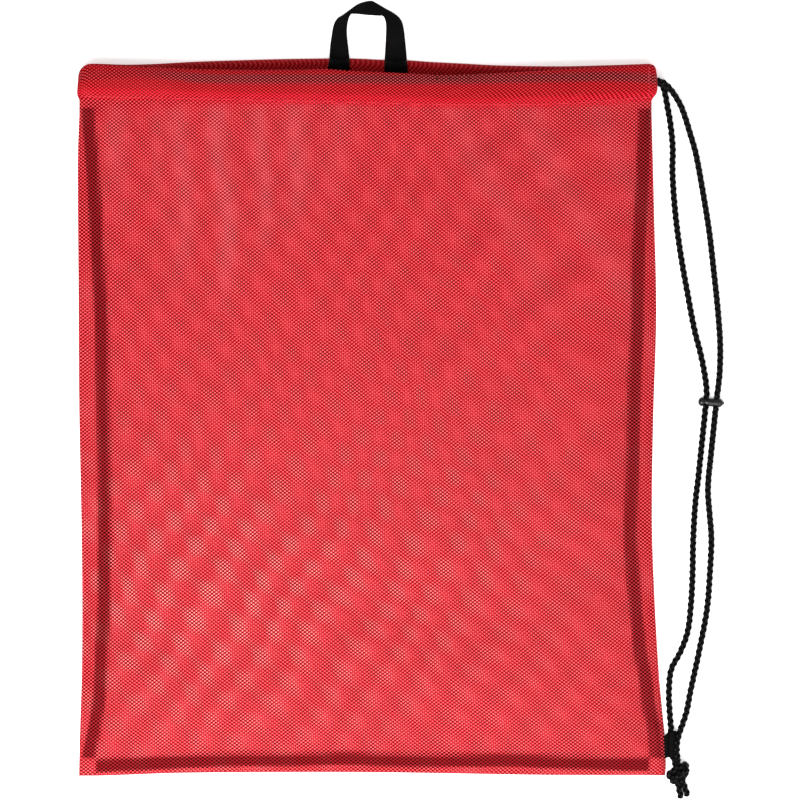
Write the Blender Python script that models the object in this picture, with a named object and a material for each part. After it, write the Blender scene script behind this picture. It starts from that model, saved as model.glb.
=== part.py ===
"""Mesh drawstring bag with one shoulder cord down its right side, lying flat on its back.

Frame: metres, +Z up, +Y towards the bag's mouth, +X towards the side that the cord leaves.
The origin is on the flat underside of the back panel, at the middle of the bag.
Sizes and places below are in millimetres, and MM turns them into metres.
"""

import math

import bmesh
import bpy
from mathutils import Matrix, Vector

MM = 0.001

# Panels: the outline of the sewn bag, and how far the front panel bellies up over the back one.
PANEL_THICKNESS = 1.0
PANEL_GAP = 0.3
PANEL_TOP = 267.4
PANEL_LOW = -299.0
PANEL_WIDTH = 484.0
LEFT_EDGE = (
    (-301.0, -243.6), (-264.0, -242.8), (-205.0, -241.1), (-110.0, -241.2),
    (10.0, -243.4), (110.0, -244.0), (220.0, -244.6), (268.0, -242.8),
)
RIGHT_EDGE = (
    (-300.0, 251.8), (-281.0, 251.0), (-247.0, 248.6), (-213.0, 246.0), (-150.0, 242.9),
    (-86.0, 241.0), (0.0, 242.0), (90.0, 244.6), (176.0, 242.8), (240.0, 241.2), (268.0, 241.0),
)
BOTTOM_EDGE = (
    (-244.0, -301.0), (-221.0, -300.8), (-160.0, -298.6), (-57.0, -297.8),
    (20.0, -298.2), (140.0, -300.2), (225.0, -300.2), (252.0, -299.0),
)
EDGE_HEIGHT = PANEL_THICKNESS * 1.5 + PANEL_GAP
BELLY_HEIGHT = 18.3
BELLY_RISE = 110.0
HEM_RISE = 5.0
HEM_BLEND = 60.0

# Hems: two flat tunnels, the front one lying on the back one and arched up at the mouth.
HEM_BOTTOM = 268.6
HEM_TOP = 300.0
HEM_CROWN = 286.0
HEM_LEFT = -236.9
HEM_RIGHT = 244.6
HEM_HALF = 3.75
HEM_TIP = 0.45
HEM_INNER_TIP = 0.1
HEM_WALL = 0.75
HEM_FLOOR = 0.5
HEM_TIP_WALL = 1.2
HEM_POWER = 1.4
HEM_POINTS = 7
HEM_CORNER = 9.0
HEM_CORNER_DROP = 5.0
MOUTH_LIFT = 11.0
FRONT_HEM_Z = 3 * HEM_HALF + PANEL_GAP
BACK_TOP_RISE = 5.4
FRONT_TOP_DIP = 3.7
FOLD_REACH = 7.7

# Binding tapes inside the three closed edges.
BINDING_INSET = 6.5
BINDING_WIDTH = 12.0
BINDING_THICKNESS = 1.2

# Handle: one strip of webbing looped out of the mouth, its ends sewn inside the back hem.
WEBBING = 1.3
HANDLE_HINGE = Vector((0.0, 306.8, 2.0))
HANDLE_END_LOW = 284.0
HANDLE_END_TOP = 305.7
HANDLE_TIP_Z = 0.9
HANDLE_PATH = (  # (outer x, y), (inner x, y) across the strip, from the left leg to the right
    ((-31.6, 307.4), (-14.9, 307.4)),
    ((-30.4, 316.0), (-15.8, 316.0)),
    ((-28.8, 328.0), (-16.6, 328.0)),
    ((-28.2, 336.5), (-15.8, 337.0)),
    ((-23.5, 341.5), (-13.4, 342.8)),
    ((-13.0, 348.4), (-7.0, 343.0)),
    ((-3.0, 352.9), (-1.5, 342.8)),
    ((4.0, 354.4), (4.0, 342.4)),
    ((11.5, 352.4), (8.5, 342.2)),
    ((20.0, 346.4), (11.5, 342.0)),
    ((27.6, 339.6), (14.2, 341.6)),
    ((31.0, 332.5), (16.1, 334.0)),
    ((32.6, 318.0), (15.9, 318.0)),
    ((33.8, 307.4), (15.0, 307.4)),
)
BARTACK_Y = 291.0
BARTACK_LENGTH = 12.0
BARTACK_WIDTH = 2.0
BARTACK_HEIGHT = 0.6

# Cord: one braided cord through both hems. Each route runs from its hem to the knot.
CORD_DIAMETER = 4.6
CORD_SPACING = 9.0
CHANNEL_Y = 286.6
CHANNEL_EXIT_X = 242.6
CHANNEL_BACK_Z = 3.25
CHANNEL_TURN_X = -236.9
CHANNEL_TURN_REACH = 4.3
CHANNEL_TURN_FRONT_Y = 284.8
CHANNEL_TURN_BACK_Y = 287.4
STRAND_SPLIT_Y = -105.0
LEFT_ROUTE = (
    (245.2, 285.4, 3.25), (247.8, 284.4, 3.1), (250.2, 281.8, 2.8), (252.0, 275.6, 2.5),
    (254.0, 264.5, 2.45), (256.3, 251.5, 2.45), (258.4, 230.0, 2.45), (258.2, 209.8, 2.45),
    (260.5, 176.0, 2.45), (264.8, 142.1, 2.45), (270.7, 108.3, 2.45), (277.2, 74.4, 2.5),
    (281.6, 57.5, 2.7), (284.8, 42.0, 3.1), (286.6, 30.0, 3.4), (287.06, 20.0, 3.5),
    (286.5, 14.55, 3.5), (281.6, -33.0, 3.5), (279.85, -50.0, 3.5), (278.1, -64.0, 3.4),
    (276.8, -80.0, 2.9), (275.6, -105.0, 2.45),
    (275.2, -128.6, 2.45), (273.9, -155.0, 2.45), (270.9, -179.4, 2.45), (264.8, -196.3, 2.45),
    (257.6, -211.0, 2.45), (255.9, -230.1, 2.6), (256.8, -247.0, 3.3), (257.8, -262.0, 4.1),
    (257.9, -284.5, 4.1), (258.3, -287.9, 4.0),
)
RIGHT_ROUTE = (
    (245.2, 286.6, 11.55), (249.0, 285.4, 11.2), (253.5, 282.2, 9.7), (257.2, 278.2, 7.6),
    (261.0, 272.9, 5.2), (265.3, 265.4, 3.4), (269.0, 255.7, 2.6), (273.0, 242.5, 2.45),
    (277.6, 226.7, 2.45), (283.9, 192.9, 2.45), (289.3, 159.0, 2.45), (293.2, 125.2, 2.45),
    (296.7, 91.4, 2.45), (298.5, 65.0, 2.6), (298.2, 42.0, 3.1), (296.9, 28.0, 3.4),
    (295.76, 20.0, 3.5), (295.2, 14.55, 3.5), (290.3, -33.0, 3.5), (288.55, -50.0, 3.5),
    (288.2, -62.0, 3.4), (289.6, -80.0, 2.9),
    (291.1, -100.0, 2.45), (289.9, -128.6, 2.45), (287.4, -160.0, 2.45), (280.6, -196.3, 2.45),
    (273.3, -230.1, 2.45), (269.3, -247.0, 2.5), (265.4, -262.0, 2.8), (264.3, -271.0, 3.6),
    (264.5, -279.0, 5.6), (264.2, -283.0, 6.8), (263.4, -286.6, 7.8),
)

# Lock: a slider bead with a hole for each strand, across the two straight runs.
LOCK_CENTRE = Vector((291.1, 14.55, 3.5))
LOCK_SLOPE = 0.103
LOCK_PROFILE = (  # (along the bead, radius)
    (-11.1, 0.0), (-10.9, 1.2), (-10.2, 2.3), (-9.0, 3.2), (-7.6, 3.5), (-6.2, 3.35),
    (-5.0, 3.25), (6.5, 3.4), (8.2, 3.3), (9.4, 2.3), (10.7, 0.7), (11.1, 0.0),
)
LOCK_HOLE = 2.65
LOCK_HOLES = (-4.62, 4.12)
LOCK_SIDES = 20

# Tab: a loop of webbing in the right seam, with the left strand through it.
TAB_HINGE = Vector((252.4, -273.9, 3.3))
TAB_LOW, TAB_HIGH = -285.1, -262.7
TAB_START = 252.55
TAB_OPENS = 254.4
TAB_FOLD = Vector((258.0, 0.0, 4.1))
TAB_RADIUS = 3.2
TAB_STRIP = 1.0
TAB_SPLIT = 0.6
TAB_END = ((245.1, 2.2), (250.3, 4.2))
TAB_BULGE = 3.4

# Knot at the foot of the cord, and its two short tails.
KNOT_CENTRE = Vector((262.6, -298.0, 6.3))
KNOT_HALF = Vector((8.6, 9.6, 6.2))
LEFT_TAIL = ((261.6, -308.4, 3.2), (262.6, -312.5, 2.5), (264.4, -319.0, 2.45))
RIGHT_TAIL = ((266.6, -307.4, 3.2), (268.0, -311.5, 2.5), (270.1, -317.4, 2.45))

MESH_RED = (0.72, 0.02, 0.035, 1.0)
TAPE_BLACK = (0.012, 0.012, 0.014, 1.0)
THREAD_RED = (0.6, 0.015, 0.03, 1.0)


def clear_scene():
    """Removes whatever the scene holds."""
    for obj in list(bpy.data.objects):
        bpy.data.objects.remove(obj, do_unlink=True)


def material(name, colour, roughness):
    """A plain cloth, cord or plastic finish."""
    made = bpy.data.materials.new(name)
    made.use_nodes = True
    shader = made.node_tree.nodes["Principled BSDF"]
    shader.inputs["Base Color"].default_value = colour
    shader.inputs["Roughness"].default_value = roughness
    shader.inputs["Metallic"].default_value = 0.0
    return made


def ease(t):
    """From 0 to 1, steep at first and level at the end."""
    t = min(max(t, 0.0), 1.0)
    return 1 - (1 - t) ** 3


def smooth(t):
    """From 0 to 1, level at both ends."""
    t = min(max(t, 0.0), 1.0)
    return t * t * (3 - 2 * t)


def lower_of(a, b):
    """The smaller of two shares, with a soft change from one to the other, and 1 where both are 1."""
    a, b = max(a, 0.0), max(b, 0.0)
    return a * b * (2 / (a**4 + b**4)) ** 0.25 if a * b > 1e-6 else 0.0


def value_on(points, at):
    """The smooth curve through (position, value) points, read at a position."""
    places = [p for p, _ in points]
    values = [v for _, v in points]
    at = min(max(at, places[0]), places[-1])
    i = max(k for k in range(len(places) - 1) if places[k] <= at)
    slopes = []
    for k in (i, i + 1):
        low, high = max(k - 1, 0), min(k + 1, len(places) - 1)
        slopes.append((values[high] - values[low]) / (places[high] - places[low]))
    step = places[i + 1] - places[i]
    t = (at - places[i]) / step
    return (
        (2 * t**3 - 3 * t**2 + 1) * values[i]
        + (t**3 - 2 * t**2 + t) * step * slopes[0]
        + (3 * t**2 - 2 * t**3) * values[i + 1]
        + (t**3 - t**2) * step * slopes[1]
    )


def mouth_lift(x):
    """How far the front hem arches up over the back one."""
    return MOUTH_LIFT * max(0.0, 1 - (x / HEM_RIGHT) ** 2)


def near_hem(y):
    """0 in the body of the panel, rising to 1 where it joins the hem."""
    return smooth((y - PANEL_TOP + HEM_BLEND) / HEM_BLEND)


def tab_bulge(x, y):
    """The lump that the tab's sewn end makes in the front panel's right edge."""
    along = smooth((19.0 - abs(y - TAB_HINGE.y)) / 6.5)
    inwards = smooth((13.0 - (value_on(RIGHT_EDGE, y) - x)) / 5.0)
    return TAB_BULGE * along * inwards


def front_height(x, y):
    """Height of the middle of the front panel's cloth above the floor."""
    share = near_hem(y)
    crown = BELLY_HEIGHT * (1 - share) + (FRONT_HEM_Z + mouth_lift(x)) * share
    reach = BELLY_RISE * (1 - share) + HEM_RISE * share
    side = min(x - value_on(LEFT_EDGE, y), value_on(RIGHT_EDGE, y) - x)
    bottom = y - value_on(BOTTOM_EDGE, x)
    rise = lower_of(ease(side / reach), ease(bottom / BELLY_RISE))
    return EDGE_HEIGHT + (crown - EDGE_HEIGHT) * rise + tab_bulge(x, y)


def back_height(_x, _y):
    """The back panel lies flat on the floor."""
    return PANEL_THICKNESS / 2


def in_metres(point):
    return Vector(point) * MM


def mesh_object(name, points, faces, finish, origin=None, parent=None, rounded=False):
    """A named solid from points in millimetres, its own origin at the given place."""
    origin = Vector((0, 0, 0)) if origin is None else origin
    mesh = bpy.data.meshes.new(name)
    mesh.from_pydata([in_metres(Vector(p) - origin) for p in points], [], faces)
    body = bmesh.new()
    body.from_mesh(mesh)
    bmesh.ops.recalc_face_normals(body, faces=body.faces)
    body.to_mesh(mesh)
    body.free()
    if rounded:
        mesh.shade_smooth()
        mesh.set_sharp_from_angle(angle=math.radians(40))
    mesh.materials.append(finish)
    obj = bpy.data.objects.new(name, mesh)
    bpy.context.collection.objects.link(obj)
    if parent is None:
        obj.location = in_metres(origin)
    else:
        obj.parent = parent
    return obj


def joint_empty(name, place):
    """An empty on a joint's axis, which carries the pieces that move with it."""
    empty = bpy.data.objects.new(name, None)
    empty.empty_display_size = 0.01
    bpy.context.collection.objects.link(empty)
    empty.location = in_metres(place)
    return empty


def sweep(name, rings, finish, **placing):
    """A closed solid skinned over a row of equal rings, with its two ends filled."""
    size = len(rings[0])
    points = [p for ring in rings for p in ring]
    faces = []
    for i in range(len(rings) - 1):
        for j in range(size):
            k = (j + 1) % size
            faces.append((i * size + j, i * size + k, (i + 1) * size + k, (i + 1) * size + j))
    last = (len(rings) - 1) * size
    faces.append(tuple(range(size - 1, -1, -1)))
    faces.append(tuple(range(last, last + size)))
    return mesh_object(name, points, faces, finish, **placing)


def hollow_sweep(name, outer, inner, finish, **placing):
    """A tunnel open at both ends, from a row of outer rings and a row of inner ones."""
    size = len(outer[0])
    points = [p for ring in outer + inner for p in ring]
    shift = len(outer) * size
    faces = []
    for i in range(len(outer) - 1):
        for j in range(size):
            k = (j + 1) % size
            a, b, c, d = i * size + j, i * size + k, (i + 1) * size + k, (i + 1) * size + j
            faces.append((a, b, c, d))
            faces.append((d + shift, c + shift, b + shift, a + shift))
    for i in (0, len(outer) - 1):
        for j in range(size):
            k = (j + 1) % size
            a, b = i * size + j, i * size + k
            faces.append((b, a, a + shift, b + shift) if i == 0 else (a, b, b + shift, a + shift))
    return mesh_object(name, points, faces, finish, **placing)


def panel(name, columns, rows, height, finish):
    """A sheet of cloth inside the bag's outline, from shares of its width and heights in Y."""
    middle = []
    for row in rows:
        for share in columns:
            nominal = PANEL_WIDTH * (share - 0.5)
            drop = value_on(BOTTOM_EDGE, nominal) - PANEL_LOW
            y = row + drop * (1 - (row - PANEL_LOW) / (PANEL_TOP - PANEL_LOW))
            left, right = value_on(LEFT_EDGE, y), value_on(RIGHT_EDGE, y)
            x = left + (right - left) * share
            middle.append((x, y, height(x, y)))
    wide, tall = len(columns), len(rows)
    half = PANEL_THICKNESS / 2
    points = [(x, y, z + half) for x, y, z in middle] + [(x, y, z - half) for x, y, z in middle]
    under = len(middle)
    faces = []
    for i in range(tall - 1):
        for j in range(wide - 1):
            a = i * wide + j
            b, c, d = a + 1, a + wide + 1, a + wide
            faces.append((a, b, c, d))
            faces.append((d + under, c + under, b + under, a + under))
    rim = list(range(wide))
    rim += [i * wide + wide - 1 for i in range(1, tall)]
    rim += [(tall - 1) * wide + j for j in range(wide - 2, -1, -1)]
    rim += [i * wide for i in range(tall - 2, 0, -1)]
    for a, b in zip(rim, rim[1:] + rim[:1]):
        faces.append((b, a, a + under, b + under))
    return mesh_object(name, points, faces, finish)


def make_panels(finish):
    """The flat back panel and the bellied front panel."""
    steps = (0.0, 3.0, 7.0, 13.0, 22.0, 40.0, 65.0, 95.0, 135.0, 185.0)
    columns = [s / PANEL_WIDTH for s in steps]
    columns += [0.5] + [1 - c for c in reversed(columns)]
    rows = (
        -299.0, -293.0, -286.5, -274.0, -261.5, -254.5, -235.0, -205.0, -165.0, -110.0,
        -55.0, 0.0, 55.0, 110.0, 160.0, 195.0, 218.0, 238.0, 254.0, PANEL_TOP,
    )
    panel("front_panel", columns, rows, front_height, finish)
    back_rows = (-299.0, -280.0, -240.0, -200.0, -140.0, -70.0, 0.0, 80.0, 160.0, 230.0, PANEL_TOP)
    panel("back_panel", (0.0, 0.12, 0.3, 0.5, 0.7, 0.88, 1.0), back_rows, back_height, finish)


def hem_top(x, bump):
    """The hem's upper edge: level, with a bump or a dip at the middle, rounded off at the right end."""
    middle = bump * smooth(1 - abs(x) / 190.0)
    past = max(0.0, x - (HEM_RIGHT - HEM_CORNER)) / HEM_CORNER
    return HEM_TOP + middle - HEM_CORNER_DROP * (1 - math.sqrt(max(0.0, 1 - past**2)))


def hem_half_section(top, inset, points):
    """(y, share of full thickness) from the hem's bottom edge over its crown to its top edge."""
    section = []
    for k in range(points + 1):
        t = -math.cos(math.pi * k / points)
        reach = (top - HEM_CROWN if t > 0 else HEM_CROWN - HEM_BOTTOM) - inset
        section.append((HEM_CROWN + t * reach, (1 - t * t) ** HEM_POWER))
    return section


def hem_stations():
    """Places along the hem, closer together at the rounded right end."""
    count = 18
    even = [HEM_LEFT + (HEM_RIGHT - HEM_CORNER - HEM_LEFT) * k / count for k in range(count + 1)]
    return even + [HEM_RIGHT - HEM_CORNER * s for s in (0.5, 0.2, 0.0)]


def hem_rings(x, bump, outer, inner):
    """The outer and inner ring of the tunnel at one station; each is given as (floor, roof)."""
    top = hem_top(x, bump)
    rings = []
    for inset, (floor, roof) in ((0.0, outer), (HEM_TIP_WALL, inner)):
        section = hem_half_section(top, inset, HEM_POINTS)
        over = [(x, y, roof(s)) for y, s in section]
        under = [(x, y, floor(s)) for y, s in reversed(section)]
        rings.append(over + under)
    return rings


def front_hem_rings(x):
    """A lens about the arched middle plane of the front hem."""
    middle = FRONT_HEM_Z + mouth_lift(x)
    sides = []
    for tip, half in ((HEM_TIP, HEM_HALF), (HEM_INNER_TIP, HEM_HALF - HEM_WALL)):
        floor = lambda s, tip=tip, half=half: middle - tip - (half - tip) * s
        roof = lambda s, tip=tip, half=half: middle + tip + (half - tip) * s
        sides.append((floor, roof))
    return hem_rings(x, -FRONT_TOP_DIP, *sides)


def back_hem_roof(share):
    """Height of the back hem's upper skin."""
    return 2 * HEM_TIP + 2 * (HEM_HALF - HEM_TIP) * share


def back_hem_rings(x):
    """A tunnel with a flat floor, lying where the back panel lies."""
    inner_tip = HEM_FLOOR + HEM_INNER_TIP
    crown = 2 * HEM_HALF - HEM_WALL
    outer = (lambda s: 0.0, back_hem_roof)
    inner = (lambda s: HEM_FLOOR, lambda s: inner_tip + (crown - inner_tip) * s)
    return hem_rings(x, BACK_TOP_RISE, outer, inner)


def make_hem(name, rings_at, finish):
    """One hem tunnel, open at both ends."""
    rings = [rings_at(x) for x in hem_stations()]
    outer, inner = zip(*rings)
    hollow_sweep(name, list(outer), list(inner), finish, rounded=True)


def make_left_fold(finish):
    """The hem's left end, where the tunnel turns from the front to the back: a cup open to +X."""
    centre = Vector((HEM_LEFT - PANEL_GAP, 284.6, 8.1))
    sides, steps = 20, (0.0, 0.3, 0.55, 0.78, 0.93)

    def rings(reach, half_y, half_z):
        made = []
        for step in steps:
            angle = step * math.pi / 2
            size = math.cos(angle) ** 0.5
            ring = []
            for k in range(sides):
                turn = 2 * math.pi * k / sides
                y = math.copysign(abs(math.cos(turn)) ** 0.8, math.cos(turn)) * half_y * size
                z = math.copysign(abs(math.sin(turn)) ** 0.8, math.sin(turn)) * half_z * size
                ring.append((centre.x - reach * math.sin(angle), centre.y + y, centre.z + z))
            made.append(ring)
        return made

    outer = rings(FOLD_REACH, 15.2, 8.0)
    inner = rings(FOLD_REACH - HEM_WALL, 14.4, 7.4)
    points = [p for ring in outer + inner for p in ring]
    shift = len(outer) * sides
    faces = []
    for i in range(len(steps) - 1):
        for j in range(sides):
            k = (j + 1) % sides
            a, b, c, d = i * sides + j, i * sides + k, (i + 1) * sides + k, (i + 1) * sides + j
            faces.append((a, b, c, d))
            faces.append((d + shift, c + shift, b + shift, a + shift))
    for j in range(sides):
        k = (j + 1) % sides
        faces.append((k, j, j + shift, k + shift))
    last = (len(steps) - 1) * sides
    faces.append(tuple(range(last, last + sides)))
    faces.append(tuple(range(last + shift + sides - 1, last + shift - 1, -1)))
    return mesh_object("hem_left_fold", points, faces, finish, rounded=True)


def flat_ring(first, second, middle, thickness):
    """A rectangle across a flat strip between two (x, y) points."""
    low, high = middle - thickness / 2, middle + thickness / 2
    (ax, ay), (bx, by) = first, second
    return [(ax, ay, low), (bx, by, low), (bx, by, high), (ax, ay, high)]


def make_bindings(finish):
    """The tapes that bind the seam allowances, just above the back panel."""
    middle = PANEL_THICKNESS + PANEL_GAP + BINDING_THICKNESS / 2
    inner = BINDING_INSET + BINDING_WIDTH
    rows = [-291.0 + k * (264.0 + 291.0) / 14 for k in range(15)]
    for name, edge, way in (("left_binding", LEFT_EDGE, 1), ("right_binding", RIGHT_EDGE, -1)):
        rings = []
        for y in rows:
            x = value_on(edge, y)
            near, far = (x + way * BINDING_INSET, y), (x + way * inner, y)
            rings.append(flat_ring(near, far, middle, BINDING_THICKNESS))
        sweep(name, rings, finish)
    left = value_on(LEFT_EDGE, rows[0]) + inner + 1.0
    right = value_on(RIGHT_EDGE, rows[0]) - inner - 1.2
    rings = []
    for k in range(15):
        x = left + (right - left) * k / 14
        y = value_on(BOTTOM_EDGE, x)
        near, far = (x, y + BINDING_INSET), (x, y + inner)
        rings.append(flat_ring(near, far, middle, BINDING_THICKNESS))
    sweep("bottom_binding", rings, finish)


def make_hem_threads(finish):
    """The two rows of thread that hold the hems, each between its panel and its hem."""
    y = (PANEL_TOP + HEM_BOTTOM) / 2
    half = 0.3
    for name, height in (("front_hem_thread", front_height), ("back_hem_thread", back_height)):
        rings = []
        for k in range(21):
            x = -240.0 + 24.0 * k
            middle = height(x, PANEL_TOP)
            rings.append(flat_ring((x, y - half), (x, y + half), middle, 2 * half))
        sweep(name, rings, finish)


def handle_end_height(y):
    """Height of the middle of the handle's sewn end, lying on the back hem's upper skin."""
    reach = hem_top(0.0, BACK_TOP_RISE) - HEM_CROWN
    t = (y - HEM_CROWN) / (reach if y > HEM_CROWN else HEM_CROWN - HEM_BOTTOM)
    share = max(0.0, 1 - t * t) ** HEM_POWER
    return back_hem_roof(share) + PANEL_GAP + WEBBING / 2


def make_handle(finish, hinge):
    """The loop, which flops about the back hem's top edge, and its two sewn ends."""
    tip = max(outer[1] for outer, _ in HANDLE_PATH)
    rings = []
    for outer, inner in HANDLE_PATH:
        ring = []
        for (x, y), up in ((outer, -1), (inner, -1), (inner, 1), (outer, 1)):
            down = (y - HANDLE_HINGE.y) / (tip - HANDLE_HINGE.y)
            middle = HANDLE_HINGE.z + (HANDLE_TIP_Z - HANDLE_HINGE.z) * down
            ring.append((x, y, middle + up * WEBBING / 2))
        rings.append(ring)
    sweep("handle_loop", rings, finish, origin=HANDLE_HINGE, parent=hinge)
    for side, (outer, inner) in (("left", HANDLE_PATH[0]), ("right", HANDLE_PATH[-1])):
        low, high = sorted((outer[0], inner[0]))
        rings = []
        for k in range(9):
            y = HANDLE_END_LOW + (HANDLE_END_TOP - HANDLE_END_LOW) * k / 8
            rings.append(flat_ring((low, y), (high, y), handle_end_height(y), WEBBING))
        sweep(f"handle_{side}_end", rings, finish)


def make_bartacks(finish):
    """A short dense bar of thread across each sewn end of the handle."""
    for side, (outer, inner) in (("left", HANDLE_PATH[0]), ("right", HANDLE_PATH[-1])):
        x = (outer[0] + inner[0]) / 2
        rings = []
        for y in (BARTACK_Y - BARTACK_WIDTH / 2, BARTACK_Y + BARTACK_WIDTH / 2):
            middle = handle_end_height(y) + WEBBING / 2 + PANEL_GAP + BARTACK_HEIGHT / 2
            low, high = (x - BARTACK_LENGTH / 2, y), (x + BARTACK_LENGTH / 2, y)
            rings.append(flat_ring(low, high, middle, BARTACK_HEIGHT))
        sweep(f"handle_{side}_bartack", rings, finish)


def smooth_route(points, steps=24):
    """The centripetal Catmull-Rom curve through the points, as closely spaced points."""
    places = [Vector(p) for p in points]
    places = [2 * places[0] - places[1], *places, 2 * places[-1] - places[-2]]
    line = []
    for a, b, c, d in zip(places, places[1:], places[2:], places[3:]):
        knots = [0.0]
        for p, q in ((a, b), (b, c), (c, d)):
            knots.append(knots[-1] + math.sqrt((q - p).length))
        for k in range(steps):
            t = knots[1] + (knots[2] - knots[1]) * k / steps

            def between(p, q, i, j):
                return (p * (knots[j] - t) + q * (t - knots[i])) / (knots[j] - knots[i])

            ab, bc, cd = between(a, b, 0, 1), between(b, c, 1, 2), between(c, d, 2, 3)
            line.append(between(between(ab, bc, 0, 2), between(bc, cd, 1, 3), 1, 2))
    line.append(places[-2])
    return line


def evenly(line, spacing):
    """Points of the line about one spacing apart, its two ends among them."""
    run = [0.0]
    for p, q in zip(line, line[1:]):
        run.append(run[-1] + (q - p).length)
    count = max(1, round(run[-1] / spacing))
    picked, i = [], 0
    for k in range(count + 1):
        at = run[-1] * k / count
        while i < len(line) - 2 and run[i + 1] < at:
            i += 1
        share = (at - run[i]) / max(run[i + 1] - run[i], 1e-9)
        picked.append(line[i].lerp(line[i + 1], min(share, 1.0)))
    return picked


def tube(name, line, finish, origin=None, parent=None):
    """A plain round tube along the line, its ends filled."""
    origin = Vector((0, 0, 0)) if origin is None else origin
    curve = bpy.data.curves.new(name, "CURVE")
    curve.dimensions = "3D"
    curve.bevel_depth = CORD_DIAMETER / 2 * MM
    curve.bevel_resolution = 2
    curve.use_fill_caps = True
    spline = curve.splines.new("POLY")
    spline.points.add(len(line) - 1)
    for point, place in zip(spline.points, line):
        point.co = (*in_metres(place - origin), 1.0)
    curve.materials.append(finish)
    obj = bpy.data.objects.new(name, curve)
    bpy.context.collection.objects.link(obj)
    obj.parent = parent
    return obj


def make_channel_cord(finish):
    """The cord inside the hems: along the front tunnel, round the left fold, back along the other."""
    quarter = 12
    front = []
    for k in range(quarter * 2 + 1):
        x = CHANNEL_EXIT_X + (CHANNEL_TURN_X - CHANNEL_EXIT_X) * k / (quarter * 2)
        y = CHANNEL_Y + (CHANNEL_TURN_FRONT_Y - CHANNEL_Y) * smooth((-170.0 - x) / 60.0)
        front.append(Vector((x, y, FRONT_HEM_Z + mouth_lift(x))))
    back = []
    for point in reversed(front):
        y = CHANNEL_Y + (CHANNEL_TURN_BACK_Y - CHANNEL_Y) * smooth((-170.0 - point.x) / 60.0)
        y -= 1.2 * smooth((point.x - 200.0) / 40.0)
        back.append(Vector((point.x, y, CHANNEL_BACK_Z)))
    centre = (front[-1] + back[0]) / 2
    arm = front[-1] - centre
    turn = []
    for k in range(1, 8):
        angle = math.pi * k / 8
        outwards = Vector((-CHANNEL_TURN_REACH * math.sin(angle), 0, 0))
        turn.append(centre + arm * math.cos(angle) + outwards)
    tube("cord_in_hem", front + turn + back, finish)


def split_at(line, y):
    """The line's points above and below a height in Y, measured down a route."""
    cut = next(i for i, p in enumerate(line) if p.y < y)
    return line[:cut], line[cut:]


def make_strands(finish):
    """The two free strands from the hems to the knot, each modelled in two lengths."""
    for side, route in (("left", LEFT_ROUTE), ("right", RIGHT_ROUTE)):
        line = smooth_route(route)
        upper, lower = split_at(line, STRAND_SPLIT_Y)
        upper, lower = evenly(upper, CORD_SPACING), evenly(lower, CORD_SPACING)
        lower[0] = lower[0] + (lower[1] - lower[0]).normalized() * PANEL_GAP
        tube(f"cord_{side}_upper", upper, finish)
        tube(f"cord_{side}_lower", lower, finish)


def make_lock(finish, slide):
    """The slider bead: a turned body, with a round hole across it for each strand."""
    turned = bmesh.new()
    rim = [turned.verts.new((x, 0.0, r)) for x, r in LOCK_PROFILE]
    edges = [turned.edges.new(pair) for pair in zip(rim, rim[1:])]
    bmesh.ops.spin(
        turned, geom=rim + edges, cent=(0, 0, 0), axis=(1, 0, 0),
        angle=2 * math.pi, steps=LOCK_SIDES, use_merge=True,
    )
    bmesh.ops.remove_doubles(turned, verts=turned.verts, dist=0.01)
    tilt = Matrix.Rotation(-math.atan(LOCK_SLOPE), 3, "Z")
    turned.verts.index_update()
    points = [tilt @ v.co + LOCK_CENTRE for v in turned.verts]
    faces = [tuple(v.index for v in f.verts) for f in turned.faces]
    turned.free()
    lock = mesh_object(
        "cord_lock", points, faces, finish, origin=LOCK_CENTRE, parent=slide, rounded=True
    )
    for number, along in enumerate(LOCK_HOLES):
        bpy.ops.mesh.primitive_cylinder_add(
            vertices=16, radius=LOCK_HOLE * MM, depth=20 * MM,
            location=in_metres(LOCK_CENTRE + tilt @ Vector((along, 0, 0))),
            rotation=(math.pi / 2, 0, -math.atan(LOCK_SLOPE)),
        )
        cutter = bpy.context.object
        cutter.name = f"lock_hole_cutter_{number}"
        cutter.hide_render = True
        cutter.display_type = "WIRE"
        bore = lock.modifiers.new(f"hole_{number}", "BOOLEAN")
        bore.operation = "DIFFERENCE"
        bore.object = cutter
    return lock


def tab_line():
    """The middle of the tab's webbing in the XZ plane, out from the seam, round and back."""
    low, high = TAB_HINGE.z - TAB_SPLIT, TAB_HINGE.z + TAB_SPLIT
    line = [Vector((TAB_START, 0, low)), Vector((TAB_OPENS, 0, low)), Vector((256.0, 0, 1.4))]
    for k in range(9):
        angle = -math.pi / 2 + math.pi * k / 8
        around = Vector((math.cos(angle), 0, math.sin(angle))) * TAB_RADIUS
        line.append(TAB_FOLD + around)
    return line + [Vector((255.9, 0, 6.8)), Vector((TAB_OPENS, 0, high)), Vector((TAB_START, 0, high))]


def make_tab(finish, hinge):
    """The webbing loop outside the seam, and its end sewn inside it."""
    line = tab_line()
    rings = []
    for i, place in enumerate(line):
        before, after = line[max(i - 1, 0)], line[min(i + 1, len(line) - 1)]
        way = (after - before).normalized()
        out = Vector((way.z, 0, -way.x)) * TAB_STRIP / 2
        ring = []
        for y, side in ((TAB_LOW, 1), (TAB_HIGH, 1), (TAB_HIGH, -1), (TAB_LOW, -1)):
            ring.append(place + out * side + Vector((0, y, 0)))
        rings.append(ring)
    sweep("side_tab", rings, finish, origin=TAB_HINGE, parent=hinge)
    (left, low), (right, high) = TAB_END
    rings = [flat_ring((left, y), (right, y), (low + high) / 2, high - low) for y in (TAB_LOW, TAB_HIGH)]
    sweep("side_tab_end", rings, finish)


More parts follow.
